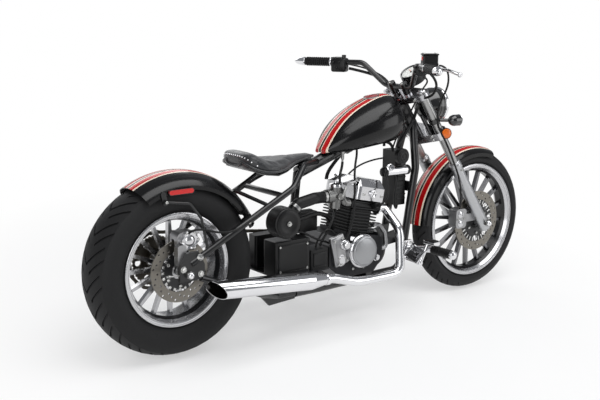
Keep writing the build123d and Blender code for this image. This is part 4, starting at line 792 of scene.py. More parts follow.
# Seat. Solo saddle of foam under grained black leather, with a raised cantle, a rolled edge and a row
# of bright studs; sewn on its pan. Rows: x, bottom, top and half width.
SEAT_ROWS = (
    (0.270, 0.664, 0.690, 0.040),
    (0.276, 0.652, 0.697, 0.070),
    (0.288, 0.641, 0.702, 0.094),
    (0.306, 0.632, 0.699, 0.109),
    (0.336, 0.623, 0.682, 0.120),
    (0.366, 0.621, 0.668, 0.123),
    (0.400, 0.623, 0.661, 0.122),
    (0.450, 0.626, 0.661, 0.096),
    (0.485, 0.632, 0.664, 0.068),
    (0.525, 0.638, 0.668, 0.048),
    (0.570, 0.644, 0.670, 0.038),
    (0.614, 0.650, 0.670, 0.029),
)
SHRINK = 0.002
PUFF_CAP = 0.006
SQUARE_SIDES = 0.5
SQUARE_TOP = 0.6
corners = 28
points, faces = [], []
for x, bottom, top, half in SEAT_ROWS:
    for index in range(corners):
        turn = 2 * pi * index / corners
        c, s = cos(turn), sin(turn)
        y = (half - SHRINK) * abs(c) ** SQUARE_SIDES * (1 if c > 0 else -1)
        z = (bottom + top) / 2 + ((top - bottom) / 2 - SHRINK) * abs(s) ** SQUARE_TOP * (1 if s > 0 else -1)
        points.append((x, y, z))
for row in range(len(SEAT_ROWS) - 1):
    for index in range(corners):
        after = (index + 1) % corners
        low, high = row * corners, (row + 1) * corners
        faces.append((low + index, low + after, high + after, high + index))
faces.append(tuple(range(corners)))
faces.append(tuple(range(len(points) - corners, len(points)))[::-1])
mesh = bpy.data.meshes.new("saddle")
mesh.from_pydata(points, [], faces)
saddle = bpy.data.objects.new("saddle", mesh)
bpy.context.collection.objects.link(saddle)
cleaned(saddle)
blocks = saddle.modifiers.new("foam", "REMESH")
blocks.mode = "VOXEL"
blocks.voxel_size = 0.005
bpy.ops.object.modifier_apply(modifier=blocks.name)
softer = saddle.modifiers.new("rounding", "SMOOTH")
softer.factor = 0.5
softer.iterations = 4
bpy.ops.object.modifier_apply(modifier=softer.name)
held = saddle.vertex_groups.new(name="pan")
under = [v.index for v in saddle.data.vertices if v.normal.z < -0.5]
held.add(under, 1.0, "REPLACE")
filling = saddle.modifiers.new("filling", "CLOTH")
filling.settings.vertex_group_mass = "pan"
filling.settings.use_pressure = True
filling.settings.uniform_pressure_force = 4.0
filling.settings.effector_weights.gravity = 0.0
for step in range(1, 21):
    bpy.context.scene.frame_set(step)
seen = saddle.evaluated_get(bpy.context.evaluated_depsgraph_get())
moved = [p.co - v.co for v, p in zip(saddle.data.vertices, seen.data.vertices)]
bpy.context.scene.frame_set(1)
saddle.modifiers.remove(filling)
for vertex, shift in zip(saddle.data.vertices, moved):
    vertex.co += shift * min(1.0, PUFF_CAP / max(shift.length, 1e-9))
softer = saddle.modifiers.new("settling", "SMOOTH")
softer.iterations = 3
bpy.ops.object.modifier_apply(modifier=softer.name)
finer = saddle.modifiers.new("finer", "SUBSURF")
finer.levels = 1
finer.render_levels = 1
bpy.ops.object.modifier_apply(modifier=finer.name)
# Saddle leather: near black, its pores seen where light grazes it, worn slightly shiny. Real pores are
# under a millimetre apart, and these are drawn 2.4 mm apart to show.
PORES_PER_METRE = 420.0
CREASES_PER_METRE = 60.0
leather, tree, shader = material(
    "saddle_leather", {"Base Color": linear("#2A2B2D"), "Sheen Weight": 0.3, "Sheen Roughness": 0.4}
)
place = put(tree, "TexCoord")
pores = put(
    tree, "TexVoronoi", {"Scale": PORES_PER_METRE, "feature": "DISTANCE_TO_EDGE"}, {
        "Vector": place.outputs["Object"]
    }
)
creases = put(
    tree, "TexNoise", {"Scale": CREASES_PER_METRE, "Detail": 6.0}, {"Vector": place.outputs["Object"]}
)
worn = put(tree, "MapRange", {"To Min": 0.28, "To Max": 0.48}, {"Value": creases.outputs["Fac"]})
tree.links.new(worn.outputs[0], shader.inputs["Roughness"])
raised = put(tree, "Bump", {"Strength": 0.25, "Distance": 0.0006}, {"Height": pores.outputs["Distance"]})
tree.links.new(raised.outputs[0], shader.inputs["Normal"])
studs = []
for index in range(17):
    side = (index - 8) / 8
    y = side * 0.104
    z = 0.689 - 0.03 * abs(side) ** 4
    hit, at, normal, _ = saddle.ray_cast(Vector((0.15, y, z)), Vector((1, 0, 0)))
    if hit:
        studs.append(spot_at(at, normal))
fit(saddle, "chassis", leather, 60)
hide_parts("seat")
stud = [(0.0, 0.0026), (0.0016, 0.0023), (0.003, 0.0012), (0.0034, -0.0006), (0.0, -0.0006)]
turned_set("saddle_studs", stud, 10, studs, "chassis", chrome_plate)
edge_route = [(x, -half - 0.0005, bottom + 0.012) for x, bottom, top, half in reversed(SEAT_ROWS)]
edge_route += [(0.2735, -0.05, 0.652), (0.2735, 0.05, 0.652)]
edge_route += [(x, half + 0.0005, bottom + 0.012) for x, bottom, top, half in SEAT_ROWS]
edge_route += [(0.617, 0.014, 0.661), (0.617, -0.014, 0.661)]
piping, _ = laid("saddle_edge", edge_route, 0.0045, closed=True)
fit(piping, "chassis", leather, 60)

# Engine. Twin cylinder with black-finned barrel and head, a polished rocker cover and round polished
# side covers on dark painted cases; small fixings are bright.

# Heat-proof enamel: satin black over sand-cast metal
engine_paint = grained("engine_enamel", "#0B0B0C", 0.0015, 0.38, 0.55, 0.12, {"Specular IOR Level": 0.4})
# Case casting: dark grey metal with a coarse sandy skin
case_paint = grained("case_casting", "#2E2E30", 0.0015, 0.36, 0.52, 0.12, {"Metallic": 0.7})
# Die-cast aluminium: grey and slightly rough, duller in patches
cast_alloy = grained("cast_aluminium", "#A4A4A5", 0.002, 0.28, 0.48, 0.08, {"Metallic": 1.0})
# Buffed aluminium: bright, softer than chrome
polished_alloy = grained("polished_aluminium", "#CDCDCF", 0.008, 0.1, 0.2, 0.02, {"Metallic": 1.0})
coat(engine_paint, "barrel", "cylinder_head")
coat(case_paint, "crankcase")
coat(polished_alloy, "engine_covers", "rocker_cover")
coat(cast_alloy, "oil_pipe")
# Zinc carburettor alloy: darker grey, stained by fuel
carburettor_alloy = grained("carburettor_zinc", "#7A7A79", 0.004, 0.24, 0.46, 0.08, {"Metallic": 1.0})
coat(carburettor_alloy, "carburettor")
disc = [
    (0.0, 0.0075), (0.05, 0.0075), (0.0525, 0.0066), (0.054, 0.0048), (0.058, 0.0046), (0.0602, 0.003),
    (0.0602, 0.0), (0.0, 0.0),
]
COVER_X, COVER_Z = 0.779, 0.288
# Brushed cover: pale grey with a fine scatter instead of reflections
brushed_alloy = grained("brushed_aluminium", "#9FA0A2", 0.0012, 0.25, 0.42, 0.1, {"Metallic": 1.0})
turned_set(
    "cover_face",
    disc,
    64,
    [spot_at((COVER_X, -0.14756, COVER_Z), (0, -1, 0))],
    "chassis",
    brushed_alloy,
)
rows = [
    ("engine_covers", (0.684 + 0.016 * c, -0.3, 0.262 + 0.016 * s), (0, 1, 0), 0.7) for c, s in around[::2]
]
for degrees in (-150, -110, -70, -30, 10, 170):
    c, s = cos(radians(degrees)), sin(radians(degrees))
    rows.append(("crankcase", (COVER_X + 0.078 * c, -0.3, COVER_Z + 0.078 * s), (0, 1, 0), 0.9))
    rows.append(("crankcase", (0.813 + 0.074 * c, 0.3, COVER_Z + 0.074 * s), (0, -1, 0), 0.9))
bolted("case_screws", SCREW, "chassis", rows)
# Gearbox end cover: a cast plate with a stepped face and a round boss
plate = block("gearbox_cover", (0.066, 0.018, 0.12), 0.005, 3)
push_in(plate, facing(plate, (0, -1, 0), 0.99), 0.008, 0.005)
push_in(plate, facing(plate, (0, -1, 0), 0.99), 0.004, -0.003)
lean_back = Matrix.Translation((0.676, -0.114, 0.300)) @ Matrix.Rotation(radians(-14), 4, "Y")
plate.data.transform(lean_back)
fit(plate, "chassis", cast_alloy)
places = [
    spot_at(lean_back @ Vector((x, -0.0128, z)), (0, -1, 0), 0.3, 0.8)
    for x in (-0.02, 0.02)
    for z in (-0.047, 0.047)
]
fixed("gearbox_screws", SCREW, places, "chassis")
cup = [
    (0.0, 0.03), (0.011, 0.03), (0.014, 0.027), (0.014, 0.016), (0.019, 0.014), (0.021, 0.011),
    (0.021, 0.0), (0.0, 0.0),
]
turned_set(
    "clutch_pot",
    cup,
    32,
    [spot_at((0.694, -0.120, 0.322), (0, -1, 0))],
    "chassis",
    polished_alloy,
)
turned_set(
    "oil_filler",
    [(0.0, 0.02), (0.01, 0.02), (0.013, 0.017), (0.013, 0.01), (0.016, 0.008), (0.016, 0.0), (0.0, 0.0)],
    12,
    [spot_at((0.865, -0.107, 0.246), (0.25, -1, 0.0))],
    "chassis",
    polished_alloy,
)
# Starter motor lying across in front of the deck, behind the pipe
turned_set(
    "starter_motor",
    [(0.0, 0.11), (0.018, 0.11), (0.022, 0.106), (0.022, 0.02), (0.026, 0.018), (0.026, 0.0), (0.0, 0.0)],
    32,
    [spot_at((0.906, -0.045, 0.318), (0, 1, 0))],
    "chassis",
    cast_alloy,
)
# Rocker cover screws and plugs, then the spark plugs' caps and leads
rows = []
for along in (-0.052, 0.068):
    for side in (-1, 1):
        rows.append(("rocker_cover", ENGINE @ Vector((along, side * 0.064, 0.4)), -ENGINE.col[2].xyz, 0.9))
for along in (-0.034, 0.058):
    rows.append(("rocker_cover", ENGINE @ Vector((along, -0.2, 0.154)), (0, 1, 0), 0.8))
    rows.append(("rocker_cover", ENGINE @ Vector((along, 0.2, 0.154)), (0, -1, 0), 0.8))
bolted("rocker_screws", SCREW, "chassis", rows)
plug = [(0.0, 0.003), (0.01, 0.0032), (0.0125, 0.0045), (0.0145, 0.004), (0.015, 0.0), (0.0, 0.0)]
places = []
for side in (-1, 1):
    at, normal = touch("rocker_cover", ENGINE @ Vector((0.01, side * 0.3, 0.1606)), (0, -side, 0))
    places.append(spot_at(at - normal * 0.0003, normal))
turned_set("rocker_plugs", plug, 32, places, "chassis", chrome_plate)
# Black moulded rubber: matt, darker than the tyres, with a slight skin
soft_rubber = grained("moulded_rubber", "#0B0B0C", 0.002, 0.42, 0.6, 0.06, {"Specular IOR Level": 0.35})
# Black moulded plastic: even satin sheen with a fine spark-eroded grain
black_plastic = grained("moulded_plastic", "#09090A", 0.0012, 0.32, 0.46, 0.05, {"Specular IOR Level": 0.35})
coat(soft_rubber, "intake_hose", "grips", "foot_pegs")
coat(black_plastic, "air_filter", "side_boxes", "electrics_box", "horn", "master_cylinder", "speedometer")


def cable(name, route, radius, body, follows=None):
    """A cable laid along a route, fitted to its body; when follows is given it is leaned, finished and
    smoothed but rides on no body. follows names a second body and the points where the cable passes over, and
    only whether it is given is used.
    """
    piece, path = laid(name, route, radius)
    if follows is None:
        fit(piece, body, soft_rubber, 60)
    else:
        piece.data.transform(PARKED)
        piece.data.materials.append(soft_rubber)
        piece.data.shade_smooth()
        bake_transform(piece)
    return piece


cap = [
    (0.0, 0.05), (0.006, 0.05), (0.0075, 0.046), (0.0075, 0.03), (0.0105, 0.028), (0.0105, 0.006),
    (0.0085, 0.0), (0.0, 0.0),
]
plug_at = ENGINE @ Vector((0.03, 0.088, 0.112))
places = [spot_at((plug_at.x, side * plug_at.y, plug_at.z), (0.25, side, 0.25)) for side in (-1, 1)]
turned_set("plug_caps", cap, 20, places, "chassis", soft_rubber)
lead_from = plug_at + 0.032 * Vector((0.25, 1, 0.25)).normalized()
route = [
    (lead_from.x, -lead_from.y, lead_from.z),
    (lead_from.x + 0.012, -lead_from.y - 0.04, lead_from.z + 0.016),
    (0.91, -0.135, 0.53),
    (0.925, -0.09, 0.574),
    (0.938, -0.071, 0.574),
]
cable("right_plug_lead", route, 0.0035, "chassis")
route = [
    tuple(lead_from),
    (lead_from.x + 0.012, lead_from.y + 0.04, lead_from.z + 0.016),
    (0.93, 0.12, 0.56),
    (1.0, 0.08, 0.60),
    (1.032, 0.036, 0.61),
]
cable("left_plug_lead", route, 0.0035, "chassis")

# Carburettor and intake. Cast zinc body with a bright lid and black hoses; worm-drive bands hold the
# intake hose, and a round lid closes the filter.
band = [(0.0222, -0.006), (0.0236, -0.006), (0.0236, 0.006), (0.0222, 0.006), (0.0222, -0.006)]
CARBURETTOR_AT = Vector((0.694, -0.066, 0.505))
FILTER_AT = Vector((0.414, -0.112, 0.443))
spigot = Vector((cos(radians(42)), 0, sin(radians(42))))
places = [
    spot_at(CARBURETTOR_AT + Vector((-0.054, 0, 0)), (1, 0, 0)),
    spot_at(FILTER_AT + spigot * 0.073, spigot),
]
turned_set("hose_bands", band, 40, places, "chassis", satin_steel)
top = [
    (0.0, 0.02), (0.004, 0.02), (0.006, 0.012), (0.019, 0.009), (0.0245, 0.006), (0.0255, 0.0),
    (0.0255, -0.006), (0.023, -0.008), (0.0, -0.008),
]
turned_set(
    "carburettor_top",
    top,
    32,
    [spot_at(CARBURETTOR_AT + Vector((0, 0, 0.04)))],
    "chassis",
    polished_alloy,
)
rows = [
    ("carburettor", CARBURETTOR_AT + Vector((0.018 * c - 0.004, 0.018 * s, -0.205)), (0, 0, 1), 0.6)
    for c, s in around[::2]
]
rows += [
    ("carburettor", CARBURETTOR_AT + Vector((0.009 * c, -0.334, 0.009 * s)), (0, 1, 0), 0.5)
    for c, s in around[::3]
]
bolted("carburettor_screws", SCREW, "chassis", rows)
linkage = block("throttle_arm", (0.012, 0.004, 0.044), 0.0019)
linkage.data.transform(Matrix.Translation((0.712, -0.098, 0.52)) @ Matrix.Rotation(radians(24), 4, "Y"))
fit(linkage, "chassis", satin_steel)
mount = block("carburettor_bracket", (0.05, 0.026, 0.012), 0.004)
push_in(mount, facing(mount, (0, 0, 1), 0.99), 0.004, -0.004)
mount.data.transform(Matrix.Translation((0.738, -0.098, 0.556)) @ Matrix.Rotation(radians(-8), 4, "Y"))
fit(mount, "chassis", cast_alloy)
cover = [
    (0.0, 0.006), (0.007, 0.006), (0.008, 0.0035), (0.03, 0.003), (0.033, 0.0045), (0.046, 0.0045),
    (0.05, 0.002), (0.05, 0.0), (0.0, 0.0),
]
turned_set(
    "filter_lid",
    cover,
    64,
    [spot_at(FILTER_AT + Vector((0, -0.034, 0)), (0, -1, 0))],
    "chassis",
    black_plastic,
)
# The filter's nut stands off by the lid's thickness
rows = [("air_filter", FILTER_AT + Vector((0, -0.288, 0)), (0, 1, 0), 0.9)]
lid_nut = bolted("filter_nut", NUT, "chassis", rows)
lid_nut.data.transform(Matrix.Translation(PARKED.to_3x3() @ Vector((0, -0.0055, 0))))
# Fuel tap under the tank, with its hoses; the clutch cable's end hangs beside them
turned_set(
    "fuel_tap",
    [
        (0.0, 0.0), (0.009, 0.0), (0.009, -0.012), (0.0065, -0.015), (0.0065, -0.034), (0.004, -0.036),
        (0.004, -0.046), (0.0, -0.046),
    ],
    20,
    [Matrix.Translation((0.742, -0.048, 0.674))],
    "chassis",
    satin_steel,
)
route = [
    (0.742, -0.048, 0.630), (0.74, -0.049, 0.61), (0.722, -0.058, 0.585), (0.712, -0.07, 0.56),
    (0.712, -0.078, 0.53), (0.71, -0.08, 0.515),
]
cable("fuel_hose", route, 0.0055, "chassis")
route = [
    (0.81, -0.05, 0.685), (0.806, -0.06, 0.66), (0.775, -0.085, 0.62), (0.756, -0.105, 0.57),
    (0.75, -0.118, 0.49), (0.738, -0.125, 0.42), (0.716, -0.128, 0.365), (0.70, -0.128, 0.345),
    (0.697, -0.128, 0.338),
]
cable("clutch_cable_tail", route, 0.0045, "chassis")
route = [
    (0.85, 0.03, 0.688), (0.848, 0.035, 0.67), (0.83, 0.06, 0.645), (0.80, 0.08, 0.60), (0.775, 0.09, 0.56),
    (0.77, 0.085, 0.54),
]
cable("breather_hose", route, 0.0075, "chassis")
route = [
    (0.694, -0.066, 0.464), (0.69, -0.07, 0.445), (0.665, -0.088, 0.415), (0.635, -0.095, 0.375),
    (0.612, -0.09, 0.34), (0.606, -0.085, 0.322),
]
cable("overflow_hose", route, 0.005, "chassis")
route = [
    (0.70, -0.045, 0.368), (0.694, -0.05, 0.39), (0.66, -0.062, 0.43), (0.59, -0.078, 0.452),
    (0.52, -0.09, 0.44), (0.47, -0.095, 0.44),
]
cable("crankcase_breather", route, 0.009, "chassis")
# Regulator on the seat post's front: a finned black block
REGULATOR_AT = Vector((0.592, 0.0, 0.408))
core = block("regulator_core", (0.08, 0.05, 0.05), 0.003)
core.data.transform(Matrix.Translation(REGULATOR_AT + Vector((-0.006, -0.004, 0))))
base = block("regulator_base", (0.094, 0.02, 0.076), 0.0015)
base.data.transform(Matrix.Translation(REGULATOR_AT + Vector((0, 0.014, 0))))
fins = []
for index in range(6):
    fin = block("regulator_fin", (0.086, 0.0035, 0.076), 0.0015)
    fin.data.transform(Matrix.Translation(REGULATOR_AT + Vector((0, 0.005 - 0.007 * index, 0))))
    fins.append(fin)
fit(joined("regulator", [core, base, *fins]), "chassis", engine_paint)

# Boxes behind the engine. Moulded plastic battery and tool boxes, standing on the frame's tray. Their
# covers are let in and screwed on.
# Each cover's middle, width and height
covers = []
for x, y, z, wide, high in (
    (0.454, -0.1225, 0.306, 0.136, 0.104), (0.583, -0.1185, 0.279, 0.066, 0.054),
    (0.463, 0.0865, 0.303, 0.118, 0.098),
):
    panel = block("box_cover", (wide, 0.005, high), 0.0022)
    push_in(panel, facing(panel, (0, -1 if y < 0 else 1, 0), 0.99), 0.006, -0.0012)
    panel.data.transform(Matrix.Translation((x, y, z)))
    covers.append(panel)
fit(joined("box_covers", covers), "chassis", black_plastic)
places = [spot_at((x, -0.1236, z), (0, -1, 0), 0.2, 0.7) for x in (0.392, 0.516) for z in (0.26, 0.352)]
fixed("box_screws", SCREW, places, "chassis")
route = [
    (0.46, -0.1, 0.37), (0.462, -0.1, 0.386), (0.50, -0.098, 0.396), (0.55, -0.096, 0.37),
    (0.60, -0.094, 0.345), (0.635, -0.092, 0.335), (0.652, -0.09, 0.325),
]
cable("battery_lead", route, 0.004, "chassis")
route = [
    (0.59, -0.08, 0.315), (0.592, -0.082, 0.335), (0.61, -0.09, 0.37), (0.64, -0.10, 0.39),
    (0.67, -0.104, 0.36), (0.682, -0.106, 0.343),
]
cable("starter_lead", route, 0.0035, "chassis")

# Exhausts. Chromed steel pipes bent from each port to slash-cut mufflers, black with soot inside,
# held by flanges at the head and bands at the joints.


def softened(route, cut):
    """A route with points set before and after each corner, so that a smooth tube has straight legs."""
    points = [Vector(p) for p in route]
    made = [points[0]]
    for before, corner, after in zip(points, points[1:], points[2:]):
        into, out = corner - before, after - corner
        made.append(corner - into.normalized() * min(cut, 0.45 * into.length))
        made.append(corner)
        made.append(corner + out.normalized() * min(cut, 0.45 * out.length))
    return made + [points[-1]]


port = ENGINE @ Vector((0.072, -0.070, 0.110))
leave = ENGINE.col[0].xyz
MUFFLER_RISE = radians(4.5)
BORE_RADIUS = 0.0325
BORE_FRONT = 0.40
muffler_way = Vector((-cos(MUFFLER_RISE), 0, sin(MUFFLER_RISE)))
muffler_at = Vector((0.556, -0.188, 0.222))
bends = [
    port,
    port + leave * 0.046,
    (0.946, -0.164, 0.356),
    (0.932, -0.188, 0.186),
    (0.712, -0.188, 0.186),
    muffler_at - muffler_way * 0.036,
    muffler_at,
]
pipes = []
for side in (-1, 1):
    route = [(p.x, -side * p.y, p.z) for p in softened(bends, 0.12)]
    pipe, _ = laid("header_pipe", route, 0.018, 4)
    pipes.append(pipe)
headers = fit(joined("header_pipes", pipes), "chassis", chrome_plate, 50)
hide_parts("exhaust_headers")
# Chrome outside, soot where the pipe's bore is seen
sooted_chrome, tree, shader = material("sooted_chrome", {})
place = put(tree, "TexCoord")
sides = put(
    tree,
    "Mapping",
    {"Rotation": (LEAN, 0, 0), "Location": UPRIGHT.translation - Vector((0, 0, muffler_at.z))},
    {"Vector": place.outputs["Object"]},
)
tilted = put(
    tree,
    "Mapping",
    {"Rotation": (0, -MUFFLER_RISE, 0), "Location": (0, 0, -0.0436)},
    {"Vector": sides.outputs[0]},
)
split = put(tree, "SeparateXYZ", {}, {0: tilted.outputs[0]})
outer_y = put(tree, "Math", {"operation": "ABSOLUTE"}, {0: split.outputs["Y"]})
from_line = put(tree, "Math", {"operation": "SUBTRACT", 1: -muffler_at.y}, {0: outer_y.outputs[0]})
round_line = put(tree, "CombineXYZ", {}, {0: from_line.outputs[0], 1: split.outputs["Z"]})
radius = put(tree, "VectorMath", {"operation": "LENGTH"}, {0: round_line.outputs[0]})
outside = put(tree, "Math", {"operation": "GREATER_THAN", 1: BORE_RADIUS}, {0: radius.outputs["Value"]})
behind = put(tree, "Math", {"operation": "GREATER_THAN", 1: BORE_FRONT}, {0: split.outputs["X"]})
bright = put(tree, "Math", {"operation": "MAXIMUM"}, {0: outside.outputs[0], 1: behind.outputs[0]})
skin = put(
    tree, "Mix", {"data_type": "RGBA", 6: linear("#0C0B0A"), 7: linear("#E4E4E6")}, {0: bright.outputs[0]}
)
tree.links.new(skin.outputs[2], shader.inputs["Base Color"])
tree.links.new(bright.outputs[0], shader.inputs["Metallic"])
grain(tree, shader, 0.02, 0.05, 0.1, 0.0)
coat(sooted_chrome, "mufflers")
band = [
    (0.0185, -0.009), (0.0222, -0.009), (0.0228, -0.007), (0.0228, 0.007), (0.0222, 0.009), (0.0185, 0.009),
    (0.0185, -0.009),
]
places = [spot_at((muffler_at.x + 0.004, side * 0.188, muffler_at.z), muffler_way) for side in (-1, 1)]
turned_set("pipe_bands", band, 40, places, "chassis", chrome_plate)
flange = [
    (0.0185, 0.0), (0.029, 0.0), (0.03, 0.001), (0.03, 0.006), (0.029, 0.007), (0.0185, 0.007),
    (0.0185, 0.0),
]
places = [spot_at((port.x, side * port.y, port.z), leave) for side in (-1, 1)]
turned_set("port_flanges", flange, 32, places, "chassis", chrome_plate)
places = []
for side in (-1, 1):
    face = Vector((port.x, side * port.y, port.z)) + leave * 0.007
    places += [spot_at(face + ENGINE.col[2].xyz * up, leave, 0, 0.6) for up in (-0.0245, 0.0245)]
fixed("flange_nuts", NUT, places, "chassis")

# Foot controls. Chromed forward plates, pedals and pegs, screwed to the downtubes. The pegs and pedals
# wear moulded rubbers.
coat(chrome_plate, "foot_controls", "ignition_coil", "headlamp_rim", "hand_levers")
rib = [
    (0.0168, -0.003), (0.0186, -0.0018), (0.0186, 0.0018), (0.0168, 0.003), (0.0165, 0.003),
    (0.0165, -0.003), (0.0168, -0.003),
]
RIB = taken(turned("rubber_rib", rib, 24))
places = []
for side in (-1, 1):
    places += [spot_at((1.102, side * (0.204 + 0.0128 * index), 0.258), (0, 1, 0)) for index in range(8)]
fit(repeated("peg_ribs", RIB, places), "chassis", soft_rubber)
end = [(0.0, 0.007), (0.008, 0.006), (0.014, 0.003), (0.0166, 0.0), (0.0, 0.0)]
places = [spot_at((1.102, side * 0.3118, 0.258), (0, side, 0)) for side in (-1, 1)]
turned_set("peg_ends", end, 24, places, "chassis", chrome_plate)
rows = []
for side in (-1, 1):
    for x, z in ((1.05, 0.27), (1.082, 0.27), (1.084, 0.21)):
        rows.append(("foot_controls", (x, side * 0.17, z), (0, -side, 0), 0.9))
bolted("control_screws", SCREW, "chassis", rows)
guards = []
for side in (-1, 1):
    guard = block("control_plate", (0.009, 0.088, 0.062), 0.003)
    push_in(guard, facing(guard, (-1, 0, 0), 0.99), 0.007, -0.002)
    push_in(guard, facing(guard, (-1, 0, 0), 0.99), 0.016, 0.004)
    turn = Matrix.Rotation(radians(34), 4, "Y") @ Matrix.Rotation(side * radians(-14), 4, "X")
    guard.data.transform(Matrix.Translation((1.056, side * 0.140, 0.238)) @ turn)
    guards.append(guard)
fit(joined("control_plates", guards), "chassis", polished_alloy)
pads = []
for side in (-1, 1):
    pad = block("pedal_pad", (0.03, 0.054, 0.006), 0.0022)
    pad.data.transform(Matrix.Translation((1.086, side * 0.202, 0.2995)))
    pads.append(pad)
fit(joined("pedal_pads", pads), "chassis", soft_rubber)

# Brake calipers. Cast aluminium bodies over the discs: the rear has a lobed polished cover, the front
# two round piston caps, each with its socket screws.
coat(cast_alloy, "rear_caliper", "front_caliper")
LOBES = 6
LOBES_AT = Vector((0.02, -0.109, 0.428))
flower = cylinder("caliper_flower", 72, 0.034, 0.012)
for vertex in flower.data.vertices:
    turn = atan2(vertex.co.y, vertex.co.x)
    vertex.co.xy *= 1 + 0.13 * cos(LOBES * turn)
rounded(flower, 0.0022, 2, 60)
push_in(flower, facing(flower, (0, 0, 1), 0.99), 0.003, -0.002)
flower.data.transform(spot_at(LOBES_AT, (0, -1, 0)))
fit(flower, "chassis", polished_alloy)
turned_set(
    "caliper_middle",
    [(0.0, 0.006), (0.008, 0.0055), (0.014, 0.0035), (0.019, 0.0), (0.019, -0.006), (0.0, -0.006)],
    40,
    [spot_at(LOBES_AT + Vector((0, -0.0056, 0)), (0, -1, 0))],
    "chassis",
    polished_alloy,
)
places = []
for index in range(LOBES):
    turn = 2 * pi * index / LOBES
    out = Vector((0.0305 * cos(turn), -0.0058, 0.0305 * sin(turn)))
    places.append(spot_at(LOBES_AT + out, (0, -1, 0), 0, 0.55))
fixed("rear_caliper_screws", SCREW, places, "chassis")
places = []
for z in (0.312, 0.352):
    at, normal = touch("front_caliper", (1.372, -0.3, z), (0, 1, 0))
    places.append(spot_at(at, normal))
piston = [
    (0.0, 0.004), (0.008, 0.004), (0.0095, 0.0028), (0.0135, 0.0028), (0.0155, 0.001), (0.0155, -0.002),
    (0.0, -0.002),
]
turned_set("front_piston_caps", piston, 32, places, "steering", polished_alloy)
rows = [("front_caliper", (x, -0.3, z), (0, 1, 0), 0.8) for x, z in ((1.353, 0.332), (1.394, 0.332))]
bolted("front_caliper_screws", SCREW, "steering", rows)
route = [
    (0.016, -0.112, 0.452), (0.018, -0.118, 0.462), (0.05, -0.136, 0.47), (0.13, -0.15, 0.445),
    (0.2, -0.152, 0.452), (0.3, -0.148, 0.505), (0.40, -0.132, 0.545), (0.45, -0.11, 0.553),
]
cable("rear_brake_hose", route, 0.004, "chassis")

# Electrics between the downtubes. A plastic box with cooling ribs, the chromed coil, the horn's
# grille and the key switch's bright barrel.
ribs = []
for index in range(6):
    blade = block("box_rib", (0.05, 0.004, 0.005), 0.0012, 1)
    blade.data.transform(Matrix.Translation((1.056, -0.0455, 0.45 + 0.018 * index)))
    ribs.append(blade)
fit(joined("box_ribs", ribs), "chassis", black_plastic)
grille = [
    (0.0, 0.003), (0.006, 0.003), (0.0075, 0.0005), (0.012, 0.0005), (0.0135, 0.003), (0.018, 0.003),
    (0.0195, 0.0005), (0.024, 0.0005), (0.025, 0.002), (0.026, 0.0), (0.0, 0.0),
]
turned_set(
    "horn_grille",
    grille,
    40,
    [spot_at((1.026, -0.0898, 0.632), (0, -1, 0))],
    "chassis",
    black_plastic,
)
lock = [
    (0.0, 0.026), (0.009, 0.026), (0.012, 0.023), (0.012, 0.012), (0.0155, 0.01), (0.0155, 0.0), (0.0, 0.0)
]
LOCK = spot_at((0.957, -0.084, 0.590), (-0.3, -1, 0.3))
turned_set("key_switch", lock, 28, [LOCK], "chassis", chrome_plate)
key = block("key_slot", (0.011, 0.0025, 0.003), 0.0006, 1)
key.data.transform(LOCK @ Matrix.Translation((0, 0, 0.0262)))
fit(key, "chassis", black_plastic)
caps = [
    (0.0, 0.008), (0.014, 0.007), (0.018, 0.004), (0.0202, 0.0), (0.0202, -0.012), (0.0192, -0.013),
    (0.0, -0.013),
]
places = [spot_at((0.935, -0.071, 0.574), (-1, 0, 0)), spot_at((1.065, -0.071, 0.574), (1, 0, 0))]
turned_set("coil_caps", caps, 32, places, "chassis", black_plastic)
route = [
    (1.03, -0.046, 0.56), (1.02, -0.06, 0.545), (0.995, -0.085, 0.52), (0.985, -0.085, 0.47),
    (1.0, -0.07, 0.43), (1.03, -0.05, 0.41), (1.05, -0.03, 0.425),
]
cable("box_loom", route, 0.005, "chassis")
route = [
    (1.02, -0.03, 0.648), (1.015, -0.034, 0.665), (0.985, -0.045, 0.688), (0.94, -0.034, 0.694),
    (0.89, -0.026, 0.690), (0.86, -0.014, 0.688),
]
cable("tank_loom", route, 0.006, "chassis")

# Fork. Satin steel tubes held by pinch screws in alloy clamps, sliding in grey cast legs with turned
# collars; bright caps close the tubes, and round amber reflectors sit at the sides.

# Bead-blasted slider: even grey with a soft sheen
slider_satin = grained("slider_aluminium", "#B9BABC", 0.0015, 0.3, 0.42, 0.05, {"Metallic": 1.0})
# Upper clamp: a buffed plate under risers painted satin black
coat(ringed("clamp_aluminium", FRONT_AXLE, [(0.0, "#BDBDC0", 1), (0.703, "#0D0D0E", 0)], 0.2), "upper_clamp")
coat(polished_alloy, "steering_stem")
coat(satin_steel, "fork_tubes")
coat(slider_satin, "fork_sliders")
boot = [
    (0.0192, 0.022), (0.0225, 0.020), (0.0225, 0.016), (0.0255, 0.013), (0.0265, 0.008), (0.0265, -0.006),
    (0.0252, -0.008), (0.0252, 0.0), (0.0192, 0.002), (0.0192, 0.022),
]
up = FORK.col[2].xyz
places = [spot_at(FORK @ Vector((0, side * 0.095, 0.316)), up) for side in (-1, 1)]
turned_set("slider_boots", boot, 32, places, "steering", slider_satin)
top = [
    (0.0, 0.007), (0.009, 0.007), (0.0095, 0.0045), (0.016, 0.004), (0.0178, 0.002), (0.0178, 0.0),
    (0.0, 0.0),
]
places = [spot_at(FORK @ Vector((0, side * 0.095, 0.702)), up) for side in (-1, 1)]
turned_set("fork_caps", top, 24, places, "steering", chrome_plate)
rows = []
ahead = FORK.col[0].xyz
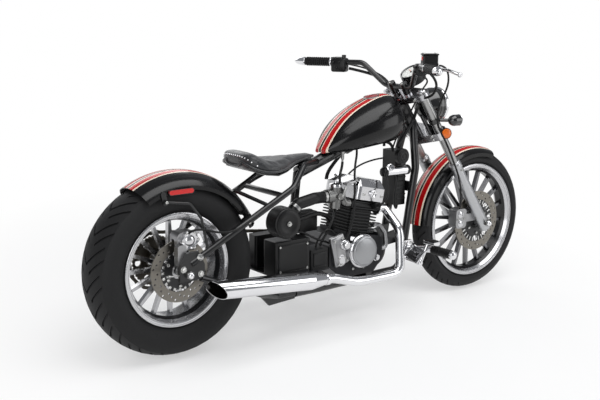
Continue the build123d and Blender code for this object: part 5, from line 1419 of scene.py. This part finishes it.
for side in (-1, 1):
    rows.append(("upper_clamp", FORK @ Vector((-0.2, side * 0.082, 0.684)), ahead, 0.9))
    rows.append(("steering_stem", FORK @ Vector((-0.2, side * 0.082, 0.480)), ahead, 0.9))
    rows.append(("steering_stem", FORK @ Vector((-0.2, side * 0.082, 0.497)), ahead, 0.9))
    rows.append(("upper_clamp", FORK @ Vector((-0.026, side * 0.036, 0.9)), -up, 0.9))
    rows.append(("fork_sliders", FORK @ Vector((0.2, side * 0.095, 0.297)), -ahead, 0.8))
    rows.append(("fork_sliders", FORK @ Vector((0, side * 0.3, 0.297)), (0, -side, 0), 0.9))
bolted("clamp_screws", SCREW, "steering", rows)
# Reflector plastic: amber, with a slight painted glow, and prisms 2.9 mm apart under the face
PRISMS_PER_METRE = 350.0
amber_lens, tree, shader = material(
    "amber_lens_plastic", {
        "Base Color": linear("#D9650A"),
        "Coat Weight": 0.4,
        "Emission Color": linear("#D9650A"),
        "Emission Strength": 0.05,
        "Roughness": 0.2,
    }
)
place = put(tree, "TexCoord")
prisms = put(tree, "TexVoronoi", {"Scale": PRISMS_PER_METRE}, {"Vector": place.outputs["Object"]})
raised = put(tree, "Bump", {"Strength": 0.4, "Distance": 0.001}, {"Height": prisms.outputs["Distance"]})
tree.links.new(raised.outputs[0], shader.inputs["Normal"])
glow = [(0.0, 0.0135), (0.012, 0.0128), (0.0195, 0.0105), (0.021, 0.008), (0.021, 0.0), (0.0, 0.0)]
places = [spot_at(FORK @ Vector((0.004, side * 0.1225, 0.490)), (-0.35, side, 0)) for side in (-1, 1)]
turned_set("fork_reflectors", glow, 40, places, "steering", amber_lens)
cup = [
    (0.0225, 0.009), (0.0225, -0.004), (0.0, -0.006), (0.0, -0.001), (0.0212, 0.0), (0.0212, 0.009),
    (0.0225, 0.009),
]
turned_set("reflector_cups", cup, 40, places, "steering", black_plastic)

# Handlebar fittings. Rubber grips with ribs, chromed bullet ends and rings, moulded switch boxes, the
# brake's fluid reservoir and its lid; levers are chromed.
TIP = Vector((0.89206, -0.390, 0.99194))
IN = Vector((0.4686, 0.8834, 0.0077)).normalized()
OUT = Vector((0.8834, -0.4686, 0)).normalized()


def both(rows):
    """Places on the right bar and their twins: rows of distance in, forward, up, and direction."""
    made = []
    for along, out, high, way in rows:
        at = TIP + IN * along + OUT * out + Vector((0, 0, high))
        for side in (1, -1):
            made.append(((at.x, side * at.y, at.z), (way.x, side * way.y, way.z)))
    return made


places = [spot_at(at, way) for at, way in both([(0.01 + 0.0097 * index, 0, 0, IN) for index in range(11)])]
fit(repeated("grip_ribs", RIB, places), "steering", soft_rubber)
bullet = [
    (0.0, 0.050), (0.005, 0.0488), (0.0105, 0.042), (0.0145, 0.030), (0.0172, 0.014), (0.0178, 0.003),
    (0.0168, 0.0), (0.0, 0.0),
]
places = [spot_at(at, way) for at, way in both([(0.0, 0, 0, -IN)])]
bullets = turned_set("bar_bullets", bullet, 32, places, "steering", chrome_plate)
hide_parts("bar_ends")
collar = [
    (0.0112, -0.003), (0.0182, -0.003), (0.0188, -0.002), (0.0188, 0.002), (0.0182, 0.003), (0.0112, 0.003),
    (0.0112, -0.003),
]
places = [spot_at(at, way) for at, way in both([(0.1185, 0, 0, IN)])]
turned_set("grip_rings", collar, 32, places, "steering", chrome_plate)
bar_frame = Matrix((IN, OUT, Vector((0, 0, 1)))).transposed().to_4x4()
# Side, length, height, distance in from the bar's end and drop
for name, flip, long, tall, along_bar, drop in (
    ("right_switches", 1, 0.04, 0.044, 0.205, 0.008),
    ("left_switches", -1, 0.066, 0.058, 0.157, 0.012),
):
    box = block(name, (long, 0.046, tall), 0.009, 3)
    push_in(box, facing(box, (0, -1, 0), 0.99), 0.003, 0.002)
    parts = [box]
    for along, high, wide in ((-0.3, 0.2, 0.010), (0.1, 0.2, 0.008), (-0.1, -0.22, 0.012)):
        button = cylinder("button", 16, wide / 2, 0.006)
        rounded(button, 0.0012, 1)
        turn = Matrix.Rotation(pi / 2, 4, "X")
        button.data.transform(Matrix.Translation((along * long, -0.0262, high * tall)) @ turn)
        parts.append(button)
    joined(name, parts)
    at = TIP + IN * along_bar - Vector((0, 0, drop))
    box.data.transform(Matrix.Translation(at) @ bar_frame)
    if flip == -1:
        box.data.transform(Matrix.Scale(-1, 4, (0, 1, 0)))
        box.data.flip_normals()
    fit(box, "steering", black_plastic)
master_at = TIP + IN * 0.142 + OUT * 0.016
lid = block("reservoir_lid", (0.040, 0.062, 0.006), 0.0024)
lid.data.transform(Matrix.Translation((master_at.x, master_at.y, 1.0455)) @ bar_frame)
fit(lid, "steering", black_plastic)
places = []
for along in (-1, 1):
    for out in (-1, 1):
        at = master_at + IN * 0.014 * along + OUT * 0.024 * out
        places.append(spot_at((at.x, at.y, 1.0483), (0, 0, 1), 0, 0.5))
fixed("lid_screws", SCREW, places, "steering")
at = master_at - OUT * 0.029
turned_set(
    "fluid_window",
    [(0.0, 0.003), (0.006, 0.0026), (0.0085, 0.001), (0.0085, -0.001), (0.0, -0.001)],
    24,
    [spot_at((at.x, at.y, 1.03), -OUT)],
    "steering",
    red_lens,
)
pivot = [(0.0, 0.011), (0.006, 0.011), (0.0085, 0.009), (0.0085, -0.011), (0.006, -0.013), (0.0, -0.013)]
at = TIP + IN * 0.128 + OUT * 0.050
for name, flip in (("right", 1), ("left", -1)):
    place = Matrix.Translation((at.x, flip * at.y, 0.9915))
    turned_set(name + "_lever_pivot", pivot, 20, [place], "steering", chrome_plate)

# Speedometer. A round instrument with a pressed black bezel round a pale card. The card has plain
# ticks, and an orange needle turns on a small hub.

# Dial card: off white, with a slight shine from its print
pale_face = grained("dial_card", "#D9DAD6", 0.01, 0.3, 0.4, 0.0)
# Black enamel: wet-looking, with clear reflections
gloss_black = grained(
    "gloss_black_enamel", "#060607", 0.02, 0.15, 0.25, 0.01, {"Coat Weight": 0.8, "Coat Roughness": 0.05}
)
DIAL = FORK @ Matrix.Translation((0.068, 0, 0.742))
ring = [
    (0.0398, -0.004), (0.0475, -0.004), (0.0487, 0.0), (0.0475, 0.0042), (0.044, 0.0052), (0.0405, 0.0028),
    (0.0398, 0.0006), (0.0398, -0.004),
]
turned_set("dial_bezel", ring, 64, [DIAL], "steering", gloss_black)
turned_set(
    "dial_face",
    [(0.0, 0.0006), (0.0402, 0.0006), (0.0402, -0.0006), (0.0, -0.0006)],
    64,
    [DIAL],
    "steering",
    pale_face,
)
TICK = taken(block("tick", (0.006, 0.0011, 0.0006), 0.0001, 1))
places = []
for index in range(19):
    turn = DIAL @ Matrix.Rotation(radians(45 + 15 * index), 4, "Z")
    size = 1.0 if index % 3 == 0 else 0.65
    places.append(turn @ Matrix.Translation((0.034, 0, 0.0009)) @ Matrix.Scale(size, 4))
points_to = DIAL @ Matrix.Rotation(radians(60), 4, "Z")
needle = points_to @ Matrix.Translation((0.012, 0, 0.002)) @ Matrix.Diagonal((5.0, 1.4, 2.0, 1))
fit(repeated("dial_ticks", TICK, places), "steering", black_plastic)
fit(repeated("dial_needle", TICK, [needle]), "steering", amber_lens)
turned_set(
    "needle_hub",
    [(0.0, 0.004), (0.003, 0.0038), (0.0045, 0.0026), (0.0045, 0.0004), (0.0, 0.0004)],
    16,
    [DIAL],
    "steering",
    black_plastic,
)

# Headlamp and turn signals. Gloss black bowls; the lamp's fluted glass sits in a chromed rim, and each
# signal shows an amber lens forward.
coat(gloss_black, "headlamp_shell", "turn_signals")
# Fluted lamp glass over a bright reflector: upright ribs, which a wave scale of 26 sets 12 mm apart
lamp_glass, tree, shader = material(
    "fluted_glass",
    {"Base Color": linear("#E9EEF2"), "Metallic": 0.55, "Coat Weight": 1.0, "Roughness": 0.08},
)
place = put(tree, "TexCoord")
flutes = put(tree, "TexWave", {"bands_direction": "Y", "Scale": 26.0}, {"Vector": place.outputs["Object"]})
raised = put(tree, "Bump", {"Strength": 0.6, "Distance": 0.002}, {"Height": flutes.outputs["Fac"]})
tree.links.new(raised.outputs[0], shader.inputs["Normal"])
coat(lamp_glass, "headlamp_lens")
LAMP_AT = FORK @ Vector((0.106, 0, 0.549))
band = [
    (0.0685, -0.002), (0.0705, -0.0012), (0.0705, 0.0012), (0.0685, 0.002), (0.068, 0.0), (0.0685, -0.002)
]
places = [spot_at(LAMP_AT + Vector((back, 0, 0)), (1, 0, 0)) for back in (-0.006, -0.024)]
turned_set("bowl_trims", band, 64, places, "steering", gloss_black)
eye = [(0.0, 0.0065), (0.009, 0.0055), (0.017, 0.0025), (0.0195, 0.0), (0.0195, -0.0006), (0.0, -0.0006)]
signal = FORK @ Vector((0.0475, 0.150, 0.5265))
places = [spot_at((signal.x + 0.027, side * 0.150, signal.z), (1, 0, 0)) for side in (-1, 1)]
turned_set("signal_lenses", eye, 32, places, "steering", amber_lens)
hoop = [
    (0.0196, -0.001), (0.0232, -0.001), (0.0236, 0.0006), (0.0226, 0.0024), (0.0196, 0.002),
    (0.0196, -0.001),
]
turned_set("signal_rims", hoop, 32, places, "steering", chrome_plate)

# Cables and looms from the bars. Black sheathed cables and taped looms run from the switch boxes and
# levers past the steering head to the frame, loose enough for full lock.

# A second body and two points between which a cable passes from the bars to the frame; cable() only reads
# whether they are given
over = ("chassis", (1.10, 0, 0.93), (1.06, 0, 0.74))
route = [
    (0.990, -0.205, 0.965), (1.02, -0.195, 0.958), (1.075, -0.165, 0.935), (1.108, -0.10, 0.90),
    (1.112, -0.06, 0.85), (1.085, -0.05, 0.79), (1.05, -0.045, 0.735), (1.02, -0.04, 0.69),
    (1.015, -0.035, 0.66),
]
cable("throttle_cable", route, 0.0035, "steering", follows=over)
route = [
    (0.986, 0.215, 0.968), (1.012, 0.18, 0.96), (1.045, 0.125, 0.945), (1.075, 0.075, 0.92),
    (1.095, 0.05, 0.87), (1.08, 0.042, 0.80), (1.05, 0.04, 0.735), (1.03, 0.036, 0.69), (1.026, 0.03, 0.66),
]
cable("left_loom", route, 0.006, "steering", follows=over)
route = [
    (0.996, 0.292, 0.988), (1.03, 0.274, 0.982), (1.09, 0.22, 0.965), (1.125, 0.14, 0.93),
    (1.125, 0.085, 0.875), (1.098, 0.066, 0.81), (1.06, 0.06, 0.74), (1.035, 0.055, 0.70),
    (1.02, 0.05, 0.68),
]
cable("clutch_cable", route, 0.0035, "steering", follows=over)
route = [
    (1.002, -0.296, 1.004), (1.03, -0.29, 1.002), (1.085, -0.262, 0.975), (1.125, -0.225, 0.92),
    (1.14, -0.175, 0.86), (1.165, -0.128, 0.80), (1.19, -0.112, 0.74), (1.215, -0.138, 0.68),
    (1.25, -0.135, 0.62), (1.30, -0.13, 0.54), (1.335, -0.118, 0.46), (1.352, -0.1, 0.40),
    (1.362, -0.086, 0.378),
]
cable("front_brake_hose", route, 0.004, "steering")
route = [
    (1.0, -0.215, 0.985), (1.03, -0.215, 0.975), (1.08, -0.21, 0.93), (1.095, -0.18, 0.885),
    (1.10, -0.13, 0.865), (1.115, -0.085, 0.86), (1.14, -0.06, 0.845), (1.165, -0.045, 0.828),
]
cable("right_loom", route, 0.005, "steering")
over = ("chassis", (1.15, 0, 0.815), (1.06, 0, 0.73))
route = [
    (1.165, -0.02, 0.822), (1.145, -0.03, 0.81), (1.115, -0.05, 0.78), (1.085, -0.058, 0.745),
    (1.055, -0.055, 0.71), (1.035, -0.048, 0.68), (1.03, -0.044, 0.665),
]
cable("headlamp_loom", route, 0.007, "steering", follows=over)
